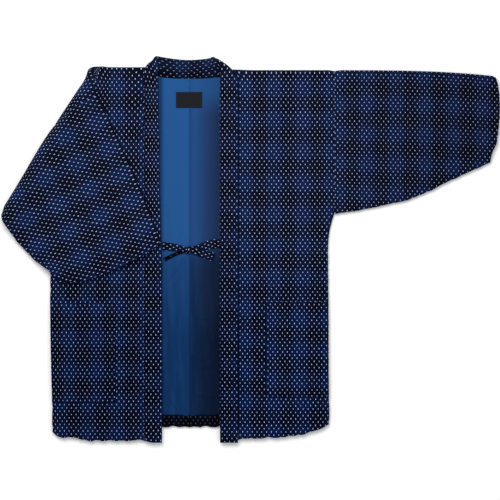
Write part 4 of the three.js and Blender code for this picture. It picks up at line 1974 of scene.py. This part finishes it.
@dataclass(frozen=True)
class CheckedCotton:
    """Navy cotton with a woven check of two blues and staggered pale dashes."""

    name: str = "checked_cotton"
    dark: Colour = (0.0012, 0.0022, 0.0082, 1)
    middle: Colour = (0.0018, 0.0052, 0.0215, 1)
    blue: Colour = (0.0026, 0.0100, 0.0470, 1)
    dash: Colour = (0.425, 0.485, 0.73, 1)
    across_weight: float = 0.55
    band_edges: Range = (0.30, 0.70)
    stray_scale: float = 38.0
    slack: float = 0.0016
    streak_scale: float = 520.0
    streak_size: float = 0.22
    dimmest: float = 0.78
    # Painted shade and painted sheen: a darker tint low down and a grey veil added on the upper part, by
    # height in the frame.
    low_painted_shade: Colour = (0.40, 0.78, 0.95, 1)
    upper_painted_sheen: Colour = (0.0007, 0.0007, 0.0007, 1)
    painted_sheen_range: Range = (-0.28, 0.16)
    # Painted shade: tint for the darker right cuff and the lower left front.
    falloff_shade: Colour = (0.72, 0.72, 0.74, 1)
    cuff_range: Range = (0.10, 0.50)
    left_range: Range = (-0.15, -0.33)
    low_range: Range = (0.0, -0.22)
    front_share: float = 0.65
    thread_height: float = 0.35
    dash_height: float = 0.9
    crumple_scale: float = 150.0
    crumple_height: float = 1.4
    dash_size: float = 0.94
    dash_spread: float = 0.12
    dash_power: float = 2.6
    dash_edges: Range = (0.55, 1.35)

    def build(self) -> Material:
        """Build the material.

        Returns:
            The material.
        """
        desk = NodeDesk(self.name)
        uv, u, v = desk.cloth_place()
        shift = desk.centred(desk.noise(uv, self.stray_scale), self.slack)
        u, v = desk.plus(u, shift), desk.math("SUBTRACT", v, shift)
        ground = self.painted_sheen_and_shade(desk, self.ground(desk, uv, u, v))
        mask, tone = self.dashes(desk, u, v)
        dimmest = tuple(self.dimmest * part for part in self.dash[:3]) + (1,)
        thread = desk.blend(tone, dimmest, self.dash)
        colour = self.painted_falloff_shade(desk, desk.blend(mask, ground, thread))
        desk.paint(colour)
        weave = desk.times(desk.weave_height(u, v, WEAVE.thread), self.thread_height)
        raised = desk.plus(weave, desk.times(mask, self.dash_height))
        crumple = desk.times(desk.noise(uv, self.crumple_scale, 4), self.crumple_height)
        desk.bump(desk.plus(raised, crumple), strength=0.5, distance=0.0005)
        desk.cotton_face(roughness=0.8, sheen=0.004)
        return desk.material

    def ground(self, desk: NodeDesk, uv: object, u: object, v: object) -> NodeSocket:
        """Colour of the check: dark where two dark bands cross and blue where two blue ones do.

        Args:
            desk: Adds the nodes.
            uv: The cloth's own map.
            u: Place across the cloth.
            v: Place along the cloth.

        Returns:
            The colour.
        """
        bands = []
        for place, period in ((u, WEAVE.check_across), (v, WEAVE.check_along)):
            half = period / 2
            low, high = self.band_edges
            bands.append(desk.between(desk.math("PINGPONG", place, half), low * half, high * half))
        across = desk.times(bands[0], self.across_weight)
        share = desk.plus(across, desk.times(bands[1], 1 - self.across_weight))
        streaks = desk.centred(desk.noise(uv, self.streak_scale, 3), self.streak_size)
        stops = ((0.0, self.dark), (0.5, self.middle), (1.0, self.blue))
        return desk.ramp(desk.plus(share, streaks), stops)

    def painted_sheen_and_shade(self, desk: NodeDesk, ground: object) -> NodeSocket:
        """Ground with a painted sheen, a grey veil near the shoulders, and painted shade, a darker and
        purer blue near the hem.

        Args:
            desk: Adds the nodes.
            ground: Colour of the ground.

        Returns:
            The colour.
        """
        # Painted sheen added at the top and painted shade tinted in below, by the object's height in the
        # frame.
        upper = desk.between(desk.split(desk.object_place())[1], *self.painted_sheen_range)
        tinted = desk.tinted(ground, desk.blend(upper, self.low_painted_shade, WHITE))
        return desk.blend(upper, tinted, self.upper_painted_sheen, "ADD")

    def painted_falloff_shade(self, desk: NodeDesk, colour: object) -> NodeSocket:
        """Painted shade: cloth a little darker towards the right cuff and low on the left front, where the
        light falls off.

        Args:
            desk: Adds the nodes.
            colour: Its colour.

        Returns:
            The colour.
        """
        x, y = desk.split(desk.object_place())
        front = desk.times(desk.between(x, *self.left_range), desk.between(y, *self.low_range))
        cuff = desk.between(x, *self.cuff_range)
        share = desk.math("MAXIMUM", cuff, desk.times(front, self.front_share))
        return desk.tinted(colour, desk.blend(share, WHITE, self.falloff_shade))

    def dashes(self, desk: NodeDesk, u: object, v: object) -> tuple[object, object]:
        """Mask and brightness of the staggered dashes.

        Args:
            desk: Adds the nodes.
            u: Place across the cloth.
            v: Place along the cloth.

        Returns:
            The mask and the brightness.
        """
        row_place = desk.math("DIVIDE", v, WEAVE.dash_along)
        row = desk.math("FLOOR", row_place)
        odd = desk.times(desk.math("FLOORED_MODULO", row, 2.0), 0.5)
        column_place = desk.plus(desk.math("DIVIDE", u, WEAVE.dash_across), odd)
        column = desk.math("FLOOR", column_place)
        cell = desk.add("ShaderNodeCombineXYZ", {0: column, 1: row}).outputs[0]
        chance = desk.add("ShaderNodeTexWhiteNoise", {"Vector": cell}, noise_dimensions="2D")
        size = desk.plus(desk.times(chance.outputs[0], self.dash_spread), self.dash_size)
        powers = []
        for place, pitch, half in (
            (column_place, WEAVE.dash_across, WEAVE.dash_half_width),
            (row_place, WEAVE.dash_along, WEAVE.dash_half_length),
        ):
            off = desk.math("ABSOLUTE", desk.math("SUBTRACT", desk.math("FRACT", place), 0.5))
            reach = desk.math("DIVIDE", desk.times(off, pitch / half), size)
            powers.append(desk.math("POWER", reach, self.dash_power))
        outside = desk.between(desk.plus(*powers), *self.dash_edges)
        inside = desk.math("SUBTRACT", 1.0, outside)
        return inside, chance.outputs[0]


# Painted shade: a darker copy of the checked cotton, for the turn-up, the right tie's far end and a shadow
# line in the right band's seam.
SHADED_COTTON = CheckedCotton(
    name="checked_cotton_painted_shade",
    dark=(0.0006, 0.0006, 0.0018, 1),
    middle=(0.0012, 0.0014, 0.0040, 1),
    blue=(0.0016, 0.0024, 0.0080, 1),
    dash=(0.066, 0.064, 0.086, 1),
    upper_painted_sheen=(0, 0, 0, 1),
)
# Painted shade: a dimmer copy of the checked cotton for the collar's inner face behind the neck.
NECK_SHADE_COTTON = CheckedCotton(
    name="checked_cotton_neck_shade",
    dark=(0.0010, 0.0014, 0.0052, 1),
    middle=(0.0022, 0.0048, 0.0170, 1),
    blue=(0.0040, 0.0100, 0.0400, 1),
    dash=(0.22, 0.25, 0.34, 1),
    upper_painted_sheen=(0, 0, 0, 1),
)


@dataclass(frozen=True)
class PlainCotton:
    """Plain blue lining cotton with painted shade: darker towards the right band, below the knot and
    towards the hem, and a painted shadow beside the left band.
    """

    name: str = "lining_cotton"
    blue: Colour = (0.0145, 0.0770, 0.2330, 1)
    # Painted shade: tints for the lower right, for the lower part and across towards the right band.
    low_right: Colour = (0.80, 0.70, 0.64, 1)
    deep: Colour = (0.26, 0.36, 0.43, 1)
    right_shade_stops: tuple[tuple[float, Colour], ...] = (
        (0.0, (1, 0.97, 0.98, 1)),
        (0.03, (0.90, 0.66, 0.76, 1)),
        (0.25, (1.0, 0.74, 0.76, 1)),
        (0.55, (0.90, 0.50, 0.52, 1)),
        (0.95, (0.62, 0.32, 0.30, 1)),
    )
    right_shade_width: float = 0.064
    wander_scale: float = 16.0
    wander_size: float = 0.020
    knot_range: Range = (-0.372, -0.415)
    knot_share: float = 0.62
    hem_range: Range = (-0.40, -0.62)
    hem_share: float = 0.38
    streak_scale: float = 75.0
    streak_stretch: float = 0.12
    streak_size: float = 0.9
    neck_range: Range = (-0.105, -0.035)
    neck_share: float = 0.6
    low_range: Range = (-0.372, -0.430)
    right_range: Range = (0.0, 0.010)
    band_range: Range = (-0.0550, -0.0650)
    band_shadow: float = 0.62
    band_tint: Colour = (0.1, 0.12, 0.16, 1)
    fibre_scale: float = 900.0
    fibre_size: float = 0.3
    fibre_least: float = 0.85
    thread: float = 0.0007
    thread_height: float = 0.3
    crumple_scale: float = 60.0
    crumple_height: float = 2.4

    def build(self) -> Material:
        """Build the material.

        Returns:
            The material.
        """
        desk = NodeDesk(self.name)
        uv, u, v = desk.cloth_place()
        # Painted shade below the knot and again towards the hem, streaked along the cloth.
        knot = desk.times(desk.between(v, *self.knot_range), self.knot_share)
        low = desk.plus(knot, desk.times(desk.between(v, *self.hem_range), self.hem_share))
        drawn = desk.streaks(uv, self.streak_scale, self.streak_stretch)
        streaked = desk.times(low, desk.plus(desk.centred(drawn, self.streak_size), 1.0))
        deep = desk.blend(streaked, WHITE, self.deep)
        near_band = desk.times(desk.between(u, *self.band_range), self.band_shadow)
        shade = desk.tinted(deep, self.painted_right_shade(desk, uv, low))
        shade = desk.tinted(shade, desk.blend(near_band, WHITE, self.band_tint))
        fibres = desk.times(desk.noise(uv, self.fibre_scale, 3), self.fibre_size)
        speckles = self.grey(desk, desk.plus(fibres, self.fibre_least))
        colour = desk.tinted(desk.tinted(self.blue, shade), speckles)
        desk.paint(colour)
        weave = desk.times(desk.weave_height(u, v, self.thread), self.thread_height)
        crumple = desk.times(desk.noise(uv, self.crumple_scale, 4), self.crumple_height)
        desk.bump(desk.plus(weave, crumple), strength=0.6, distance=0.0008)
        desk.cotton_face(roughness=0.8, sheen=0.01)
        return desk.material

    def painted_right_shade(self, desk: NodeDesk, uv: object, low: object) -> NodeSocket:
        """Painted shade that darkens the lining towards the right band, and below the knot on the right.

        Args:
            desk: Adds the nodes.
            uv: The cloth's own map.
            low: How low on the lining it is.

        Returns:
            The tint.
        """
        u, v = desk.split(uv)
        wander = desk.centred(desk.noise(uv, self.wander_scale), self.wander_size)
        strayed = desk.plus(u, desk.times(wander, low))
        turned = desk.ramp(desk.math("DIVIDE", strayed, self.right_shade_width), self.right_shade_stops)
        near_neck = desk.times(desk.between(v, *self.neck_range), self.neck_share)
        turned = desk.blend(near_neck, turned, WHITE)
        below_knot = desk.times(desk.between(v, *self.low_range), desk.between(u, *self.right_range))
        return desk.tinted(turned, desk.blend(below_knot, WHITE, self.low_right))

    def grey(self, desk: NodeDesk, value: object) -> NodeSocket:
        """A grey of a given value."""
        return desk.add("ShaderNodeCombineColor", {0: value, 1: value, 2: value}).outputs[0]


@dataclass(frozen=True)
class WovenTape:
    """Black satin-woven tape of the label."""

    name: str = "label_tape_weave"
    black: Colour = (0.0060, 0.0062, 0.0080, 1)
    grey: Colour = (0.0120, 0.0125, 0.0150, 1)
    thread: float = 0.0006

    def build(self) -> Material:
        """Build the material.

        Returns:
            The material.
        """
        desk = NodeDesk(self.name)
        uv, u, v = desk.cloth_place()
        slubs = desk.noise(uv, 800, 2)
        desk.paint(desk.blend(slubs, self.black, self.grey))
        desk.bump(desk.weave_height(u, v, self.thread), strength=0.5, distance=0.0002)
        desk.cotton_face(roughness=0.6, sheen=0.0, gloss=0.06)
        return desk.material


@dataclass(frozen=True)
class SewingThread:
    """Twisted cotton thread."""

    name: str
    colour: Colour

    def build(self) -> Material:
        """Build the material.

        Returns:
            The material.
        """
        desk = NodeDesk(self.name)
        twist = desk.noise(desk.object_place(), 2600, 1)
        paler = tuple(min(1.6 * part, 1) for part in self.colour[:3]) + (1,)
        desk.paint(desk.blend(twist, self.colour, paler))
        desk.bump(twist, strength=0.4, distance=0.0001)
        desk.cotton_face(roughness=0.7, sheen=0.02, gloss=0.1)
        return desk.material


@dataclass(frozen=True)
class Studio:
    """Camera straight above, plain pale floor and soft light."""

    picture_width: float = 1.070
    camera_height: float = 6.0
    aim: tuple[float, float] = (-0.0016, 0.0006)
    cloth_height: float = 0.014
    clip_end: float = 60.0
    floor_size: float = 14.0
    floor_drop: float = 0.0002
    card: Colour = (0.86, 0.86, 0.86, 1)
    pale_card: Colour = (0.9, 0.9, 0.9, 1)
    room_light: float = 0.62
    lamps: tuple[tuple[str, tuple[float, float, float], float, float], ...] = (
        ("key", (-0.5, 1.0, 2.1), 1.5, 42),
        ("fill", (1.3, -0.5, 2.6), 2.0, 14),
    )

    def place_camera(self) -> None:
        """Look straight down at the middle of the picture."""
        camera = bpy.data.cameras.new("camera")
        camera.dof.use_dof = False
        distance = self.camera_height - self.cloth_height
        camera.angle = 2 * math.atan(self.picture_width / 2 / distance)
        camera.clip_end = self.clip_end
        viewer = bpy.data.objects.new("camera", camera)
        viewer.location = (*self.aim, self.camera_height)
        bpy.context.scene.collection.objects.link(viewer)
        bpy.context.scene.camera = viewer

    def lay_floor(self) -> None:
        """A wide floor of plain pale card."""
        sheet = bmesh.new()
        bmesh.ops.create_grid(sheet, x_segments=1, y_segments=1, size=self.floor_size / 2)
        bmesh.ops.translate(sheet, vec=(0, 0, -self.floor_drop), verts=sheet.verts[:])
        desk = NodeDesk("pale_card")
        tooth = desk.noise(desk.object_place(), 90, 3)
        desk.paint(desk.blend(tooth, self.card, self.pale_card))
        desk.bump(tooth, strength=0.05, distance=0.0005)
        desk.shader.inputs["Roughness"].default_value = 0.9
        floor = finished_object("floor", sheet, [desk.material])

    def light(self) -> None:
        """A large soft key from beyond the neck on the left, a weak fill and a pale room."""
        scene = bpy.context.scene
        scene.view_settings.view_transform = "Standard"
        world = bpy.data.worlds.new("room")
        world.use_nodes = True
        background = world.node_tree.nodes["Background"]
        background.inputs[0].default_value = WHITE
        background.inputs[1].default_value = self.room_light
        scene.world = world
        for name, place, size, power in self.lamps:
            lamp = bpy.data.lights.new(name, "AREA")
            lamp.shape = "DISK"
            lamp.size = size
            lamp.energy = power
            holder = bpy.data.objects.new(name, lamp)
            aim = (-Vector(place)).to_track_quat("-Z", "Y").to_matrix().to_4x4()
            holder.matrix_world = Matrix.Translation(place) @ aim
            scene.collection.objects.link(holder)


def soft_folds(*rows: tuple[float, ...]) -> list[SoftFold]:
    """Folds from rows of x, y, length, width, height and lean."""
    return [SoftFold(*row) for row in rows]


def pulls(*rows: tuple[float, ...]) -> tuple[Pull, ...]:
    """Pulls from rows of x, y, dx, dy, across and along."""
    return tuple(Pull(*row) for row in rows)


LINING_FOLDS = soft_folds(
    (-34, -585, 270, 20, 2.6, 3),
    (-13, -625, 200, 15, 2.0, -4),
    (17, -570, 290, 17, 2.6, 3),
    (41, -590, 200, 18, 2.4, 9),
    (-30, -452, 70, 12, 2.0, -35),
    (30, -538, 50, 7, -2.4, 84),
    (18, -617, 40, 7, 2.8, 68),
    (34, -645, 50, 7, -2.4, 100),
    (30, -698, 56, 7, 2.8, 82),
    (-32, -718, 50, 7, 3.0, 35),
    (-18, -505, 100, 9, -1.5, -6),
    (-44, -540, 180, 8, 2.8, 2),
    (-24, -660, 150, 8, 2.8, 5),
    (-38, -438, 66, 7, 2.8, -38),
    (-40, -240, 260, 22, 1.8, 1),
    (33, -260, 240, 20, 1.8, -2),
)
BAND_PULL = Pull(x=-104.4, y=-45, dx=7, dy=0, across=20, along=75)
FOLD_BOW = Pull(x=-309, y=-167, dx=-3, dy=1.8, across=60, along=75)
BODY_PULLS = {
    Side.LEFT: (
        BAND_PULL,
        FOLD_BOW,
        *pulls(
            (-208, -6.5, -3, 7.5, 22, 17),
            (-204.4, -30, 7, 0, 22, 30),
            (-104, 0, 9.5, 0, 14, 12),
            (-296, -500, -2, 0, 45, 120),
            (-296, -750, 2.5, 0, 45, 90),
        ),
    ),
    Side.RIGHT: pulls(
        (104, -4, -12, 1.5, 16, 12),
        (297, -560, 1.2, 0, 45, 110),
        (297, -745, 2.4, 0, 45, 95),
    ),
}
SLEEVE_PULLS = {
    Side.LEFT: (FOLD_BOW, *pulls((-297, -447, 2, 6.5, 32, 36))),
    Side.RIGHT: (),
}
COLLAR_PULLS = (
    BAND_PULL,
    *pulls(
        (-61, 23.5, -9, 3, 16, 15),
        (-92, -8, 0, 14, 24, 26),
        (-99, -802, 0, 4, 12, 25),
        (-58.9, -200, -6, 0, 20, 160),
        (0, 20, 0, 2.8, 55, 14),
        (-50, -16, 0, -4, 24, 12),
        (-62, -15, 0, -3.6, 11, 9),
        (50, -16, 0, -4, 24, 12),
        (63.8, 22.9, -10.7, 2.4, 15, 14),
    ),
)
UNDERARM_FOLDS = soft_folds(
    (285, -285, 90, 16, 2.2, 52),
    (330, -250, 110, 18, 1.8, 60),
    (300, -200, 120, 30, -1.4, 40),
)
SLEEVE_FOLDS = soft_folds(
    (335, -262, 90, 14, 2.0, 66),
    (380, -245, 100, 16, 1.6, 78),
    (470, -190, 120, 18, 1.4, 70),
    (560, -140, 120, 22, 1.3, 62),
)


@dataclass
class Jacket:
    """The whole jacket."""

    sides: tuple[Side, ...] = (Side.LEFT, Side.RIGHT)
    pockets: dict[Side, Pocket] = field(default_factory=dict)
    label: Label = field(default_factory=Label)
    hem_stitch_drop: float = 0.2
    hem_stitch_rise: float = 1.6
    label_stitch_inset: float = 1.6
    front_check: dict[Side, CheckPlace] = field(
        default_factory=lambda: {
            Side.LEFT: CheckPlace(dark_x=186.6, dark_y=680),
            Side.RIGHT: CheckPlace(dark_x=211.5, dark_y=73),
        }
    )
    sleeve_check: dict[Side, CheckPlace] = field(
        default_factory=lambda: {
            Side.LEFT: CheckPlace(dark_x=333.5, dark_y=-62.5, across=61.4, along=72.6),
            Side.RIGHT: CheckPlace(dark_x=348, dark_y=39.5, across=62, along=63.5),
        }
    )
    pocket_check: dict[Side, CheckPlace] = field(
        default_factory=lambda: {
            Side.LEFT: CheckPlace(dark_x=231, dark_y=-608.6, across=58, along=70),
            Side.RIGHT: CheckPlace(dark_x=206.5, dark_y=-565.6, across=62, along=65),
        }
    )

    def build(self) -> None:
        """Build every piece in order."""
        cotton = CheckedCotton().build()
        shaded = SHADED_COTTON.build()
        lining = PlainCotton().build()
        self.build_ties([cotton, shaded])
        for side in self.sides:
            body = BodyHalf(side, self.front_check[side], UNDERARM_FOLDS if side is Side.RIGHT else [])
            body.build([cotton, lining])
            folds = SLEEVE_FOLDS if side is Side.RIGHT else []
            Sleeve(side, self.sleeve_check[side], folds).build([cotton, lining])
            self.pockets[side] = Pocket(side, body, self.pocket_check[side])
            self.pockets[side].build([cotton])
            Lining(side, LINING_FOLDS).build([lining])
            # The turn-up takes the painted-shade copy of the cotton.
            TurnUp(side, CheckPlace(dark_x=0, dark_y=-760)).build([shaded])
        Collar(CheckPlace(dark_x=0, dark_y=0, along=68)).build([cotton, NECK_SHADE_COTTON.build(), shaded])
        self.label.build(WovenTape().build())
        self.sew()

    def sew(self) -> None:
        """Sew the pockets, the turned-up hem and the label."""
        navy = SewingThread("navy_thread", (0.010, 0.014, 0.045, 1)).build()
        black = SewingThread("black_thread", (0.020, 0.020, 0.024, 1)).build()
        for side in self.sides:
            hand, name = side.hand, side.value
            pocket = self.pockets[side]
            StitchRow(f"pocket_{name}_stitches", pocket.stitch_line(), pitch=5.0, length=3.0).build(navy)
            free = CUT.opening(side)
            rise = CUT.lining_bottom + self.hem_stitch_rise
            hem = [
                Vector((hand * x, CUT.turn_up_edge(x) - self.hem_stitch_drop, rise))
                for x in (3, free / 4, free / 2, 3 * free / 4, free + 4)
            ]
            StitchRow(f"hem_{name}_stitches", hem, pitch=7.0, length=2.4, slant=35).build(navy)
        edge, top = self.label_stitch_inset, self.label.face_height()
        half_width, half_height = self.label.width / 2 - edge, self.label.height / 2 - edge
        corners = [(-1, -1), (1, -1), (1, 1), (-1, 1), (-1, -1)]
        frame_line = [
            Vector((self.label.x + half_width * across, self.label.y + half_height * up, top))
            for across, up in corners
        ]
        StitchRow("label_stitches", frame_line, pitch=3.4, length=2.2, thread=0.5).build(black)

    def build_ties(self, finishes: list[Material]) -> None:
        """Build both ties and the turn that knots them.

        Args:
            finishes: Its materials.
        """
        knot = KnotWrap().build(finishes[0])
        left = Tie("tie_left_cloth", "tie_left", LEFT_TIE)
        right = Tie("tie_right_cloth", "tie_right", RIGHT_TIE, shaded_from=0.56)
        left.declare(left.build(finishes))
        right.declare(right.build(finishes))


def main() -> None:
    """Build the scene."""
    logging.basicConfig(level=logging.INFO, format="%(name)s %(message)s")
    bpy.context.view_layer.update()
    studio = Studio()
    studio.place_camera()
    Jacket().build()
    studio.lay_floor()
    studio.light()


if __name__ == "__main__":
    main()
